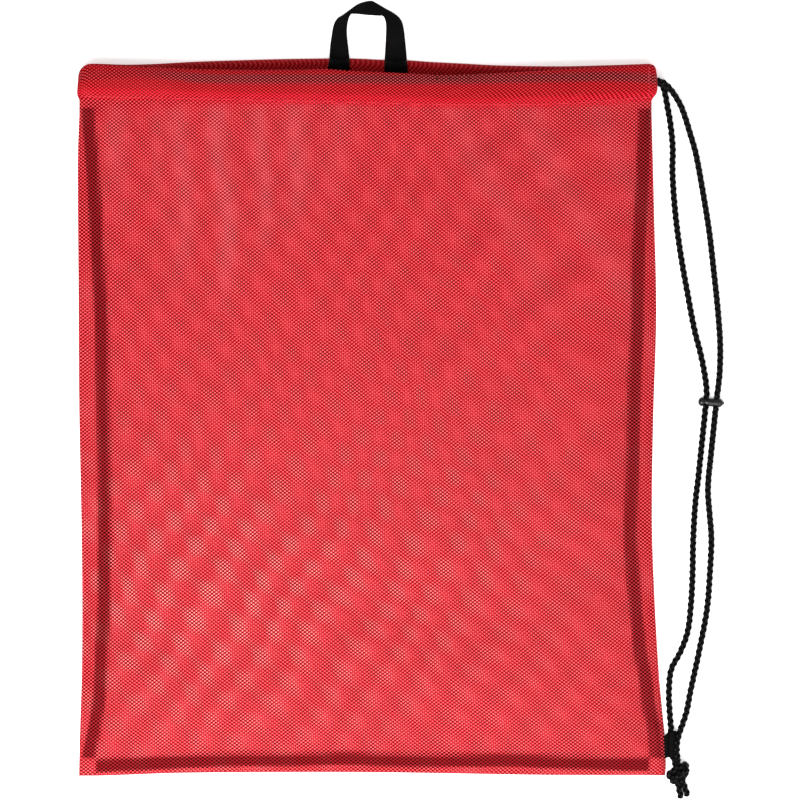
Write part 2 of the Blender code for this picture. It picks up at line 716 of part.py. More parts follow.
def make_knot(finish, hinge):
    """The overhand knot as one lump, and the two cut tails below it."""
    lump = bmesh.new()
    bmesh.ops.create_icosphere(lump, subdivisions=3, radius=1.0)
    lump.verts.index_update()
    points = []
    for v in lump.verts:
        lobes = 1 + 0.06 * math.cos(3 * math.atan2(v.co.y, v.co.x) + 0.6) * (1 - v.co.z**2)
        spread = KNOT_HALF * Vector((lobes, lobes, 1.0))
        points.append(KNOT_CENTRE + spread * v.co)
    faces = [tuple(v.index for v in f.verts) for f in lump.faces]
    lump.free()
    mesh_object("cord_knot", points, faces, finish, origin=TAB_HINGE, parent=hinge, rounded=True)
    for side, route in (("left", LEFT_TAIL), ("right", RIGHT_TAIL)):
        line = [Vector(p) for p in route]
        tube(f"cord_{side}_tail", line, finish, origin=TAB_HINGE, parent=hinge)


def main():
    clear_scene()
    red_mesh = material("red_mesh", MESH_RED, 0.6)
    binding = material("binding_tape", TAPE_BLACK, 0.8)
    webbing = material("black_webbing", TAPE_BLACK, 0.75)
    braid = material("black_braid", TAPE_BLACK, 0.7)
    moulded = material("lock_plastic", TAPE_BLACK, 0.35)
    thread = material("red_thread", THREAD_RED, 0.5)
    handle_hinge = joint_empty("handle_hinge", HANDLE_HINGE)
    lock_slide = joint_empty("lock_slide", LOCK_CENTRE)
    tab_hinge = joint_empty("side_tab_hinge", TAB_HINGE)
    make_panels(red_mesh)
    make_hem("front_hem", front_hem_rings, red_mesh)
    make_hem("back_hem", back_hem_rings, red_mesh)
    make_left_fold(red_mesh)
    make_bindings(binding)
    make_hem_threads(thread)
    make_handle(webbing, handle_hinge)
    make_bartacks(webbing)
    make_channel_cord(braid)
    make_strands(braid)
    make_lock(moulded, lock_slide)
    make_tab(webbing, tab_hinge)
    make_knot(braid, tab_hinge)


main()
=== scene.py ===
"""Looks of the mesh drawstring bag, lying flat on its back.

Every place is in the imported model's frame: +Z up, +Y towards the mouth, +X towards the side the
cord leaves. Sizes and places are in millimetres, and MM turns them into metres.
"""

import math

import bmesh
import bpy
import numpy as np
from mathutils import Matrix, Vector


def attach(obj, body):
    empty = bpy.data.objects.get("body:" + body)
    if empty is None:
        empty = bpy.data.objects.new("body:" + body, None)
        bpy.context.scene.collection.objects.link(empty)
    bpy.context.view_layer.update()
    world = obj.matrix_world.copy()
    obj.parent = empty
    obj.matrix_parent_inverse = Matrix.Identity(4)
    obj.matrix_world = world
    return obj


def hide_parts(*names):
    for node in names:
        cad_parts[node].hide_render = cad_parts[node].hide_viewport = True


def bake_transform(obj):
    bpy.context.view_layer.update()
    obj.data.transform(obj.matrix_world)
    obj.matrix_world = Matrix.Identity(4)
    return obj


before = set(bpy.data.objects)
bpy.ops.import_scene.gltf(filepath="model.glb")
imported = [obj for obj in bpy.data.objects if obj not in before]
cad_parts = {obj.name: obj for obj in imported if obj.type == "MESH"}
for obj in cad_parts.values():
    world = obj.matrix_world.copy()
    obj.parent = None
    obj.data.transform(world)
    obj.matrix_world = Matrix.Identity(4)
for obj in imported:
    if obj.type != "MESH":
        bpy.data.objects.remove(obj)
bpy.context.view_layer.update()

MM = 0.001

# The bag's outline, as in the CAD, with the hem's two ends added: (along an edge, place of the edge).
PANEL_LOW = -299.0
PANEL_WIDTH = 484.0
PANEL_LENGTH = 567.6
HEM_START = PANEL_LOW + PANEL_LENGTH
LEFT_EDGE = (
    (-301, -243.6), (-264, -242.8), (-205, -241.1), (-110, -241.2), (10, -243.4),
    (110, -244), (220, -244.6), (262, -243.2), (270.5, -243), (274, -244.6),
    (280, -244.7), (291, -243.8), (301, -243.6),
)
RIGHT_EDGE = (
    (-300, 252), (-291, 252.7), (-281, 252.3), (-267, 251.7), (-255, 250.6),
    (-240, 249.1), (-213, 246.7), (-150, 243.1),
    (-86, 241), (0, 242), (90, 244.6), (176, 242.8), (240, 241.2),
    (266, 240.6), (271, 240.9), (274.6, 243.8), (278, 245), (288, 245), (301, 244.8),
)
BOTTOM_EDGE = (
    (-244, -301), (-221, -300.8), (-160, -298.6), (-57, -297.8),
    (20, -298.2), (140, -300.2), (225, -300.4), (243, -300.4), (248.5, -299.3), (252, -297.6),
)
FRONT_HEM_FOOT = (
    (-245, 272.4), (-150, 270), (0, 266.5), (62, 264.8),
    (163, 265.8), (231, 271), (245, 272),
)
FRONT_HEM_TOP = (
    (-244.4, 288.5), (-243.6, 292), (-242.8, 294.4), (-240.3, 297.6), (-236.5, 299.9),
    (-232.7, 300.6), (-200.5, 298.4), (-134.5, 295.6), (-56.7, 295), (-35.5, 295.7),
    (-14.4, 294.1), (15.2, 292.8), (33, 292), (61.8, 290.6), (95.6, 291.5), (139.6, 294),
    (163.3, 295.6), (197, 297.6), (231, 299.4), (239, 300), (242.3, 299.2),
    (243.8, 296.5), (245, 289.5),
)
BACK_HEM_FOOT = ((-245.0, 269.4), (0.0, 268.2), (245.0, 269.6))
BACK_HEM_TOP = (
    (-244.4, 288.5), (-243.6, 292), (-242.8, 294.6), (-240.3, 298), (-236.5, 300.4),
    (-232.7, 301.4), (-205, 300.6), (-179, 301.2), (-148, 302.9), (-97, 304.6),
    (-63.5, 305.4), (-14, 305.8), (15, 304.6), (33, 304.3), (53, 302.9), (78.7, 301.6),
    (112.5, 299.9), (163, 299.2), (197, 299.9), (231, 301), (239, 301.2),
    (242.3, 299.8), (243.8, 296.8), (245, 289.8),
)

# Heights of the cloth above the floor.
EDGE_HEIGHT = 1.8
FOLD_HEIGHT = 1.0
BELLY_HEIGHT = 18.3
BELLY_RISE = 110.0
HEM_RISE = 5.0
HEM_BLEND = 60.0
FRONT_HEM_Z = 11.55
MOUTH_LIFT = 11.0
MOUTH_HALF = 244.6
HEM_HALF = 3.15
HEM_SKIN = 0.35
FRONT_CROWN = 0.6
BACK_CROWN = 0.8
HEM_DEPTH = 31.0
HEM_END_Z = 8.0
HEM_END_ROLL = 9.0
INNER_LEFT = -229.0
TURNED_IN = 14.0
BACK_HEM_Z = 0.25
BACK_Z = 0.3
TAB_BULGE = 3.4
TAB_Y = -273.9

# Mesh cloth: a staggered lattice of holes.
PITCH_ACROSS = 3.7
PITCH_ALONG = 2.95
FRONT_HOLE = -0.1
BACK_HOLE = -0.97
FRONT_SET = {"turn": 0.004, "warp": 0.5}
BACK_SET = {"turn": -0.085, "shift": 1.1, "warp": 1.0, "stretch": (1.02, 0.985)}
# Painted light: knot colour where the back sheet's holes line up behind the front ones, standing in for the
# floor's light coming through.
PAINTED_BACKLIGHT_KNOT = (1.0, 0.42, 0.4)
# Painted sheen: the colour of the fold ridges and of the knots over the hem's cord.
PAINTED_SHEEN = (0.85, 0.2, 0.22)
DENSE_RED = (0.72, 0.008, 0.025)
DENSE_BAND = (265.5, 268.0, 273.0, 279.0)  # along the cloth: where it starts, is full, and fades out
# Along the cloth: where the hem's double cloth begins and where it is full. There the holes close, and the
# colour takes painted shade.
DOUBLED = (270.0, 277.0)

# Soft folds under the front hem: (x at the hem, lean, width, strength, y of the lower end).
FOLDS = (
    (-212, 0.06, 9, 0.55, 150), (-180, 0.1, 6, 0.35, 120), (-157, 0.02, 8, 0.7, 90),
    (-125, 0.05, 8, 0.9, 70), (-88, 0, 7, 0.75, 110), (-57, -0.05, 9, 0.7, 130),
    (-22, -0.1, 11, 0.35, 150), (70, 0.5, 12, 0.35, 60), (128, 0.55, 13, 0.4, 40),
    (190, 0.5, 11, 0.35, 60),
)

# Binding tape over the seam allowances: (along the edge, middle of the tape).
TAPE_WIDTH = 11.6
TAPE_HALF = 0.55
LEFT_TAPE = (
    (-285, -235.2), (-281, -234.8), (-261, -230.5), (-240, -226.7), (-220, -225.5),
    (-179, -223.3), (-118, -221.7), (-58, -221.7), (24, -223.3), (64, -223.8),
    (125, -226.7), (166, -229.3), (206, -231.4), (247, -234.8), (263, -235.8),
)
RIGHT_TAPE = (
    (-285, 244.4), (-261, 242), (-240, 238.1), (-220, 235.6), (-200, 231.4),
    (-179, 229.3), (-159, 226.7), (-118, 223.8), (-98, 222.1), (-78, 222.9),
    (-37, 224.2), (24, 225.5), (85, 228.4), (146, 229.7), (206, 233),
    (247, 234), (263, 234.3),
)
BOTTOM_TAPE = (
    (-229, -292.6), (-212, -291.7), (-168, -289.8), (-124, -287.6), (-58, -287.2),
    (-14, -286.1), (8, -287.2), (52, -288), (118, -287.8), (162, -289.2),
    (206, -290.6), (238, -291.6),
)
CLOSED_EDGES = (
    ("left", LEFT_EDGE, LEFT_TAPE, True), ("right", RIGHT_EDGE, RIGHT_TAPE, True),
    ("bottom", BOTTOM_EDGE, BOTTOM_TAPE, False),
)

# Handle: (outer x, y), (inner x, y) across the strip, from the left leg to the right.
WEBBING = 1.3
HANDLE_WIDTH = 16.0
HANDLE_HINGE = Vector((0.0, 306.8, 2.0))
HANDLE_LOW = 284.0
HANDLE_TOP = 305.7
HANDLE_TIP_Z = 0.9
HANDLE_PATH = (
    ((-31.8, 307.4), (-14.7, 307.4)),
    ((-31.2, 316), (-15.9, 316)),
    ((-29.9, 325.5), (-16.9, 325.5)),
    ((-28.4, 333.6), (-16.7, 333.6)),
    ((-25.3, 339.4), (-15.1, 340.4)),
    ((-20.4, 342.6), (-12.6, 343.6)),
    ((-14, 347.4), (-8.6, 343.4)),
    ((-6.6, 352.2), (-4.6, 342.9)),
    ((2.9, 354.5), (1.4, 342.3)),
    ((7.9, 352.6), (6.2, 342)),
    ((15.6, 348), (10.6, 341.8)),
    ((22.8, 344), (13.4, 341.6)),
    ((28.2, 339.2), (15.4, 338)),
    ((30.8, 332.6), (16.1, 331.6)),
    ((32.6, 318), (15.6, 318)),
    ((33.6, 307.4), (14.9, 307.4)),
)
BARTACK_Y = 291.0

# The bars of stitches at the hems' open right ends.
BAR_X = 238.0

# Cord: the CAD's two routes from the hems to the knot, and the run inside the hems.
CORD_DIAMETER = 4.6
STRAND_SPLIT_Y = -105.0
LEFT_ROUTE = (
    (245.2, 285.4, 3.25), (247.8, 284.4, 3.1), (250.2, 281.8, 2.8), (252, 275.6, 2.5),
    (254, 264.5, 2.45), (256.3, 251.5, 2.45), (258.4, 230, 2.45), (258.2, 209.8, 2.45),
    (260.5, 176, 2.45), (264.8, 142.1, 2.45), (270.7, 108.3, 2.45), (277.2, 74.4, 2.5),
    (281.6, 57.5, 2.7), (284.8, 42, 3.1), (286.6, 30, 3.4), (287.06, 20, 3.5),
    (286.5, 14.55, 3.5), (281.6, -33, 3.5), (279.85, -50, 3.5), (278.1, -64, 3.4),
    (276.8, -80, 2.9), (275.6, -105, 2.45),
    (275.2, -128.6, 2.45), (273.9, -155, 2.45), (270.9, -179.4, 2.45), (264.8, -196.3, 2.45),
    (257.2, -211, 2.45), (255.2, -230.1, 2.6), (255.8, -247, 3.3), (256.9, -262, 4.1),
    (257.6, -280.5, 4.1), (258.8, -285.5, 4.1), (259.8, -287.9, 4),
)
RIGHT_ROUTE = (
    (245.2, 286.6, 11.55), (249, 285.4, 11.2), (253.5, 282.2, 9.7), (257.2, 278.2, 7.6),
    (261, 272.9, 5.2), (265.3, 265.4, 3.4), (269, 255.7, 2.6), (273, 242.5, 2.45),
    (277.6, 226.7, 2.45), (283.9, 192.9, 2.45), (289.3, 159, 2.45), (293.2, 125.2, 2.45),
    (296.7, 91.4, 2.45), (298.5, 65, 2.6), (298.2, 42, 3.1), (296.9, 28, 3.4),
    (295.76, 20, 3.5), (295.2, 14.55, 3.5), (290.3, -33, 3.5), (288.55, -50, 3.5),
    (288.2, -62, 3.4), (289.6, -80, 2.9),
    (291.1, -100, 2.45), (289.9, -128.6, 2.45), (287.4, -160, 2.45), (280.6, -196.3, 2.45),
    (273.3, -230.1, 2.45), (270, -247, 2.7), (266.5, -257.5, 4.2), (263.5, -265.5, 6.6),
    (261.8, -272.5, 8.2), (261.5, -279, 8.5), (261.8, -283, 8.3), (262.4, -286.6, 7.8),
)
CHANNEL_Y = (
    (-236, 288.2), (-215, 290.4), (-194.6, 291.4), (-166.7, 290), (-137, 287.2),
    (-73.6, 286.9), (-14.4, 286.8), (61.8, 286.4), (129.4, 287.4), (197, 289),
    (231, 288.2), (245.2, 286.6),
)
CHANNEL_BACK_Y = (
    (-236.9, 289), (-215, 291.5), (-179, 294.5), (-120, 297.6), (-60, 299.3),
    (0, 299.6), (53, 297.6), (112, 294.6), (170, 292.6), (215, 289.5), (245.2, 285.4),
)
CHANNEL_BACK_Z = 3.25
HEM_CORD_REACH = 4.3
BRAID_YARNS = 3
BRAID_LAY = 16.5
BRAID_HEIGHT = 0.95

# Lock: a turned bead, (along, radius), lying across the two strands.
LOCK_CENTRE = Vector((291.1, 14.9, 3.5))
LOCK_SLOPE = 0.07
STRAND_SLOPE = 0.103
LOCK_PROFILE = (
    (-11.25, 0), (-11.15, 1.1), (-10.8, 2.1), (-10.1, 3), (-9.1, 3.62), (-8, 3.8),
    (-6.9, 3.62), (-6.1, 3.2), (-5.5, 2.95), (-4.8, 3), (-3.8, 3.25), (-1.5, 3.5),
    (1, 3.6), (3.5, 3.65), (5.6, 3.75), (7.2, 3.7), (8.2, 3.3), (9.2, 2.4), (10.2, 1.35),
    (11, 0.5), (11.25, 0),
)
LOCK_HOLE = 2.62
LOCK_HOLES = (-4.62, 4.12)
LOCK_GROOVES = (1.35, 1.95)

# Tab: a loop of webbing in the right seam, with the left strand through it.
TAB_HINGE = Vector((252.4, -273.9, 3.3))
TAB_LOW, TAB_HIGH = -285.1, -262.7
TAB_START = 252.55
TAB_OPENS = 254.4
TAB_FOLD = Vector((258.0, 0.0, 4.1))
TAB_RADIUS = 3.3
TAB_STRIP = 1.2
TAB_SPLIT = 0.6
TAB_ROOT = 245.2
TAB_SEAM = 249.0

# Knot and tails.
KNOT_CENTRE = Vector((262.6, -298.0, 6.3))
LEFT_TAIL = ((262.6, -305.2, 4.2), (263.2, -309, 3.2), (264.1, -313.2, 2.5), (265.6, -320.2, 2.45))
RIGHT_TAIL = ((266.4, -304.6, 4.4), (267.6, -307.6, 3.2), (269, -311.5, 2.5), (271.2, -318.4, 2.45))

# Camera, straight above.
CAMERA_AIM = (27.9, 16.9)
CAMERA_HEIGHT = 5000.0
CAMERA_LENS = 266.0

# Floor, lights (name, place, size, power) and the even light all round, in metres and watts.
FLOOR_REACH = 6.0
LIGHTS = (("key", (-0.45, -0.8, 1.55), 0.9, 40.5), ("fill", (1.1, -1.2, 2.2), 1.6, 30.0))
WORLD_STRENGTH = 0.36

# Colours of the materials.
# Painted light in the red mesh: the knot colour's pink pallor is a painted highlight on the raised
# crossings, and the shade colour is painted shade where the strands dip into the holes.
RED = {"knot": (0.94, 0.122, 0.145), "strand": (0.7, 0.002, 0.012), "shade": (0.3, 0.0, 0.002)}
RED_THREAD = ((0.95, 0.03, 0.07), (0.7, 0.006, 0.02))
BLACK_THREAD = ((0.03, 0.03, 0.032), (0.008, 0.008, 0.009))
BRAID_BLACK = (0.003, 0.003, 0.0032)
TAPE_BLACK = (0.003, 0.0025, 0.003)
WEB_BLACK = (0.0018, 0.0014, 0.0015)


# ---------------------------------------------------------------- curves and heights


def smooth(t):
    """From 0 to 1, level at both ends."""
    t = np.clip(t, 0.0, 1.0)
    return t * t * (3 - 2 * t)


def ease(t):
    """From 0 to 1, steep at first and level at the end."""
    return 1 - (1 - np.clip(t, 0.0, 1.0)) ** 3


def roll(t):
    """A quarter circle, from 0 at the fold to 1."""
    return np.sqrt(np.maximum(0.0, 1 - (1 - np.clip(t, 0.0, 1.0)) ** 2))


def lower_of(a, b):
    """The smaller of two shares, with a soft change from one to the other."""
    a, b = np.maximum(a, 1e-4), np.maximum(b, 1e-4)
    return a * b * (2 / (a**4 + b**4)) ** 0.25


def blend(a, b, share):
    return a + (b - a) * share


def value_on(points, at):
    """The smooth curve through (position, value) points, read at positions."""
    places = np.array([p for p, _ in points], float)
    values = np.array([v for _, v in points], float)
    high = np.minimum(np.arange(len(places)) + 1, len(places) - 1)
    low = np.maximum(np.arange(len(places)) - 1, 0)
    slopes = (values[high] - values[low]) / (places[high] - places[low])
    at = np.clip(np.asarray(at, float), places[0], places[-1])
    i = np.clip(np.searchsorted(places, at, side="right") - 1, 0, len(places) - 2)
    step = places[i + 1] - places[i]
    t = (at - places[i]) / step
    return (
        (2 * t**3 - 3 * t**2 + 1) * values[i]
        + (t**3 - 2 * t**2 + t) * step * slopes[i]
        + (3 * t**2 - 2 * t**3) * values[i + 1]
        + (t**3 - t**2) * step * slopes[i + 1]
    )


def mouth_lift(x):
    """How far the front hem arches up over the back one."""
    return MOUTH_LIFT * np.maximum(0.0, 1 - (x / MOUTH_HALF) ** 2)


def front_hem_middle(x):
    return FRONT_HEM_Z + mouth_lift(x)


def hem_share(c, crown=FRONT_CROWN):
    """How full the hem's tunnel is at a share of its depth, from its foot to its top edge."""
    t = np.where(c < crown, (c - crown) / crown, (c - crown) / (1 - crown))
    power = np.where(c < crown, 1.4, 0.6)
    return np.maximum(0.0, 1 - t * t) ** power


def back_roof(c):
    """Height of the back hem's upper skin, fullest near its top edge, where the cord lies."""
    return 0.6 + 6.3 * hem_share(c, BACK_CROWN)


def waves(x, y, parts):
    """A sum of straight waves: (height, length, direction in degrees, phase) each."""
    total = np.zeros_like(np.asarray(x, float))
    for height, length, direction, phase in parts:
        turn = math.radians(direction)
        along = x * math.cos(turn) + y * math.sin(turn)
        total = total + height * np.sin(2 * math.pi * along / length + phase)
    return total


def soft_folds(x, y):
    """How high each place stands on the soft folds that hang from the front hem, from 0 to 1."""
    total = np.zeros_like(x)
    for top, lean, width, strength, low in FOLDS:
        middle = top + lean * (268.0 - y) + 3.0 * np.sin(y / 23.0 + top)
        length = smooth((y - low) / 90.0) * smooth((270.0 - y) / 12.0)
        total = total + strength * length * np.exp(-(((x - middle) / width) ** 2))
    return np.minimum(total, 1.0)


def front_folds(x, y, side, foot):
    """The soft folds and ripples of the front cloth."""
    inside = smooth(side / 45.0) * smooth(foot / 50.0)
    below_hem = smooth((262.0 - y) / 30.0)
    drawn = smooth((y - 60.0) / 150.0) * smooth((120.0 - np.abs(x + 105.0)) / 70.0)
    sway = 7.0 * np.sin(y / 58.0) + 4.0 * np.sin(y / 31.0 + 1.3)
    gathers = drawn * waves(x + sway, y, ((0.9, 43.0, 3.0, 0.4), (0.8, 24.0, -5.0, 1.9)))
    upper_right = smooth((x + 20.0) / 120.0) * smooth((y + 90.0) / 150.0)
    pulls = upper_right * waves(x, y, ((1.1, 62.0, 118.0, 0.3), (0.6, 33.0, 124.0, 2.2)))
    lower = smooth((40.0 - y) / 160.0)
    sags = lower * waves(x, y, ((1.1, 118.0, 100.0, 0.9), (0.8, 84.0, 72.0, 2.6), (0.4, 47.0, 112.0, 0.2)))
    ripples = waves(x, y, ((0.5, 150.0, 20.0, 0.5), (0.3, 57.0, 61.0, 1.1), (0.18, 29.0, -32.0, 0.7)))
    pucker = 0.3 * np.sin(x / 1.55 + 2.2 * np.sin(x / 17.0)) * np.exp(-np.maximum(0.0, 266.0 - y) / 6.0)
    hung = 1.8 * soft_folds(x, y)
    return inside * below_hem * (gathers + hung + pulls + sags + ripples) + pucker * smooth(side / 12.0)


def tab_bulge(x, y):
    """The lump that the tab's sewn end makes in the right edge."""
    along = smooth((19.0 - np.abs(y - TAB_Y)) / 6.5)
    inwards = smooth((13.0 - (value_on(RIGHT_EDGE, y) - x)) / 5.0)
    return TAB_BULGE * along * inwards


def front_height(x, y):
    """Height of the front cloth between its folded edges and the foot of its hem."""
    foot_of_hem = value_on(FRONT_HEM_FOOT, x)
    share = smooth((y - foot_of_hem + HEM_BLEND) / HEM_BLEND)
    crown = blend(BELLY_HEIGHT, front_hem_middle(x), share)
    reach = blend(BELLY_RISE, HEM_RISE, share)
    left, right = x - value_on(LEFT_EDGE, y), value_on(RIGHT_EDGE, y) - x
    side = np.minimum(left, right)
    foot = y - value_on(BOTTOM_EDGE, x)
    rise = lower_of(ease(side / reach), ease(foot / BELLY_RISE))
    rise = blend(rise, 1.0, smooth((y - foot_of_hem + 12.0) / 12.0))
    height = EDGE_HEIGHT + (crown - EDGE_HEIGHT) * rise + tab_bulge(x, y) + HEM_SKIN
    height = height + front_folds(x, y, side, foot)
    near = smooth((y - foot_of_hem + 14.0) / 14.0)
    edge = np.where(left < right, blend(FOLD_HEIGHT, HEM_END_Z, near), blend(FOLD_HEIGHT, height, near))
    radius = np.where(left < right, blend(4.0, HEM_END_ROLL, near), 4.0)
    return edge + (height - edge) * np.minimum(1.0, lower_of(roll(side / radius), roll(foot / 4.0)))


def back_height(x, y):
    """Height of the back cloth: flat on the floor, with its edges folded up to the front one's."""
    left, right = x - value_on(LEFT_EDGE, y), value_on(RIGHT_EDGE, y) - x
    foot = y - value_on(BOTTOM_EDGE, x)
    near = smooth((y - value_on(BACK_HEM_FOOT, x) + 12.0) / 12.0)
    flat = BACK_Z + 0.25 + waves(x, y, ((0.14, 73.0, 24.0, 0.3), (0.11, 47.0, 101.0, 1.7)))
    flat = blend(flat, 0.25, near)
    edge = np.where(left < right, blend(FOLD_HEIGHT, HEM_END_Z, near), blend(FOLD_HEIGHT, 0.25, near))
    radius = np.where(left < right, blend(2.5, HEM_END_ROLL, near), 2.5)
    side = np.minimum(left, right)
    return edge + (flat - edge) * np.minimum(1.0, lower_of(roll(side / radius), roll(foot / 2.5)))


# ---------------------------------------------------------------- meshes


def placed(name, data, place=(0.0, 0.0, 0.0)):
    obj = bpy.data.objects.new(name, data)
    obj.location = place
    bpy.context.collection.objects.link(obj)
    return obj


def piece(mesh, finish, slot, body, *nodes):
    """A smooth object named as its mesh, which rides on a body and replaces some of the CAD's nodes."""
    mesh.materials.append(finish)
    mesh.shade_smooth()
    obj = placed(mesh.name, mesh)
    if body:
        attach(obj, body)
    if nodes:
        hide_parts(*nodes)
    return obj


def grid_mesh(name, points, cloth, around=False, capped=False):
    """A mesh over a grid of points; cloth is each point's place on the flat material."""
    points, cloth = np.asarray(points, float), np.asarray(cloth, float)
    rows, cols = points.shape[:2]
    index = np.arange(rows * cols).reshape(rows, cols)
    if around:
        index = np.concatenate([index, index[:, :1]], axis=1)
    corners = (index[:-1, :-1], index[:-1, 1:], index[1:, 1:], index[1:, :-1])
    faces = np.stack(corners, -1).reshape(-1, 4).tolist()
    if capped:
        faces.append(index[0, :-1][::-1].tolist())
        faces.append(index[-1, :-1].tolist())
    mesh = bpy.data.meshes.new(name)
    mesh.from_pydata((points.reshape(-1, 3) * MM).tolist(), [], faces)
    flat = mesh.attributes.new("flat", "FLOAT_VECTOR", "POINT")
    flat.data.foreach_set("vector", (cloth.reshape(-1, 3) * MM).astype(np.float32).ravel())
    mesh.validate()
    return mesh


def joined(name, meshes):
    """One mesh from several, which keep their places on the flat material."""
    body = bmesh.new()
    for mesh in meshes:
        body.from_mesh(mesh)
        bpy.data.meshes.remove(mesh)
    mesh = bpy.data.meshes.new(name)
    body.to_mesh(mesh)
    body.free()
    return mesh


def shell(name, middle, along, across, half, rim):
    """A closed strip with rounded edges about a middle grid of places, half its thickness each way."""
    rows, cols = middle.shape[:2]
    normal = np.cross(np.gradient(middle, axis=1), np.gradient(middle, axis=0))
    normal /= np.linalg.norm(normal, axis=2, keepdims=True) + 1e-9
    depth = np.minimum(across - across[0], across[-1] - across)
    rise = normal * (half * roll((depth + 0.02) / rim))[None, :, None]
    points = np.concatenate([middle + rise, (middle - rise)[:, ::-1]], axis=1)
    cloth = np.zeros((rows, 2 * cols, 3))
    cloth[:, :, 0] = np.concatenate([across, across[::-1]])[None, :]
    cloth[:, :, 1] = along[:, None]
    return grid_mesh(name, points, cloth, around=True, capped=True)


# ---------------------------------------------------------------- routes


def between(p, q, low, high, t):
    """The point at t on the straight line from p at low to q at high."""
    return (p * (high - t) + q * (t - low)) / (high - low)


def smooth_route(points, steps=24):
    """The centripetal Catmull-Rom curve through the points, as closely spaced points."""
    places = [Vector(p) for p in points]
    places = [2 * places[0] - places[1], *places, 2 * places[-1] - places[-2]]
    line = []
    for a, b, c, d in zip(places, places[1:], places[2:], places[3:]):
        knots = [0.0]
        for p, q in ((a, b), (b, c), (c, d)):
            knots.append(knots[-1] + math.sqrt((q - p).length))
        ka, kb, kc, kd = knots
        for k in range(steps):
            t = kb + (kc - kb) * k / steps
            ab, bc, cd = between(a, b, ka, kb, t), between(b, c, kb, kc, t), between(c, d, kc, kd, t)
            line.append(between(between(ab, bc, ka, kc, t), between(bc, cd, kb, kd, t), kb, kc, t))
    line.append(places[-2])
    return line


def evenly(line, spacing):
    """The line's points about one spacing apart, as an array, and how far along each lies."""
    line = np.array([tuple(p) for p in line])
    run = np.concatenate([[0.0], np.cumsum(np.linalg.norm(np.diff(line, axis=0), axis=1))])
    at = np.linspace(0.0, run[-1], max(2, round(run[-1] / spacing) + 1))
    return np.stack([np.interp(at, run, line[:, k]) for k in range(3)], axis=1), at


def frames_on(line):
    """Two directions across each point of a line, carried along it without twist."""
    ahead = np.gradient(line, axis=0)
    ahead /= np.linalg.norm(ahead, axis=1, keepdims=True)
    across = np.zeros_like(line)
    across[0] = np.cross(ahead[0], (0.0, 0.0, 1.0))
    for k in range(len(line)):
        seed = across[max(k - 1, 0)]
        seed = seed - ahead[k] * np.dot(seed, ahead[k])
        across[k] = seed / np.linalg.norm(seed)
    return across, np.cross(across, ahead)


def braid_height(turn, at):
    """How far the braid's surface stands out, and the yarn's own coordinates, round and along."""
    a = BRAID_YARNS * (turn + at / BRAID_LAY)
    b = BRAID_YARNS * (turn - at / BRAID_LAY)
    first_sign, second_sign = (-1.0) ** np.floor(a), (-1.0) ** np.floor(b)
    first = 1 - (2 * (a % 1) - 1) ** 2 + 0.9 * first_sign * np.sin(math.pi * b)
    second = 1 - (2 * (b % 1) - 1) ** 2 - 0.9 * second_sign * np.sin(math.pi * a)
    over = first > second
    across = np.where(over, a % 1, b % 1)
    along = np.where(over, b, a)
    return np.maximum(first, second) / 1.9, across, along


def cord_mesh(name, route, start=0.0, radius=CORD_DIAMETER / 2, spacing=0.42, sides=28, end_sealed=False):
    """A braided cord along a route, which may end in a cut that is sealed round."""
    line, at = evenly(route, spacing)
    across, up = frames_on(line)
    turn = np.arange(sides) / sides
    angle = 2 * math.pi * turn[None, :, None]
    height, yarn_across, yarn_along = braid_height(turn[None, :], (at + start)[:, None])
    size = radius + BRAID_HEIGHT * (1.3 * height - 0.68)
    if end_sealed:
        size = size * np.maximum(0.12, roll((at[-1] - at + 0.05) / 2.1))[:, None]
    spoke = np.cos(angle) * across[:, None, :] + np.sin(angle) * up[:, None, :]
    points = line[:, None, :] + spoke * size[:, :, None]
    points[:, :, 2] = np.maximum(points[:, :, 2], 0.05)
    cloth = np.stack([yarn_across, yarn_along, height], axis=2) / MM
    return grid_mesh(name, points, cloth, around=True, capped=True)


# ---------------------------------------------------------------- materials


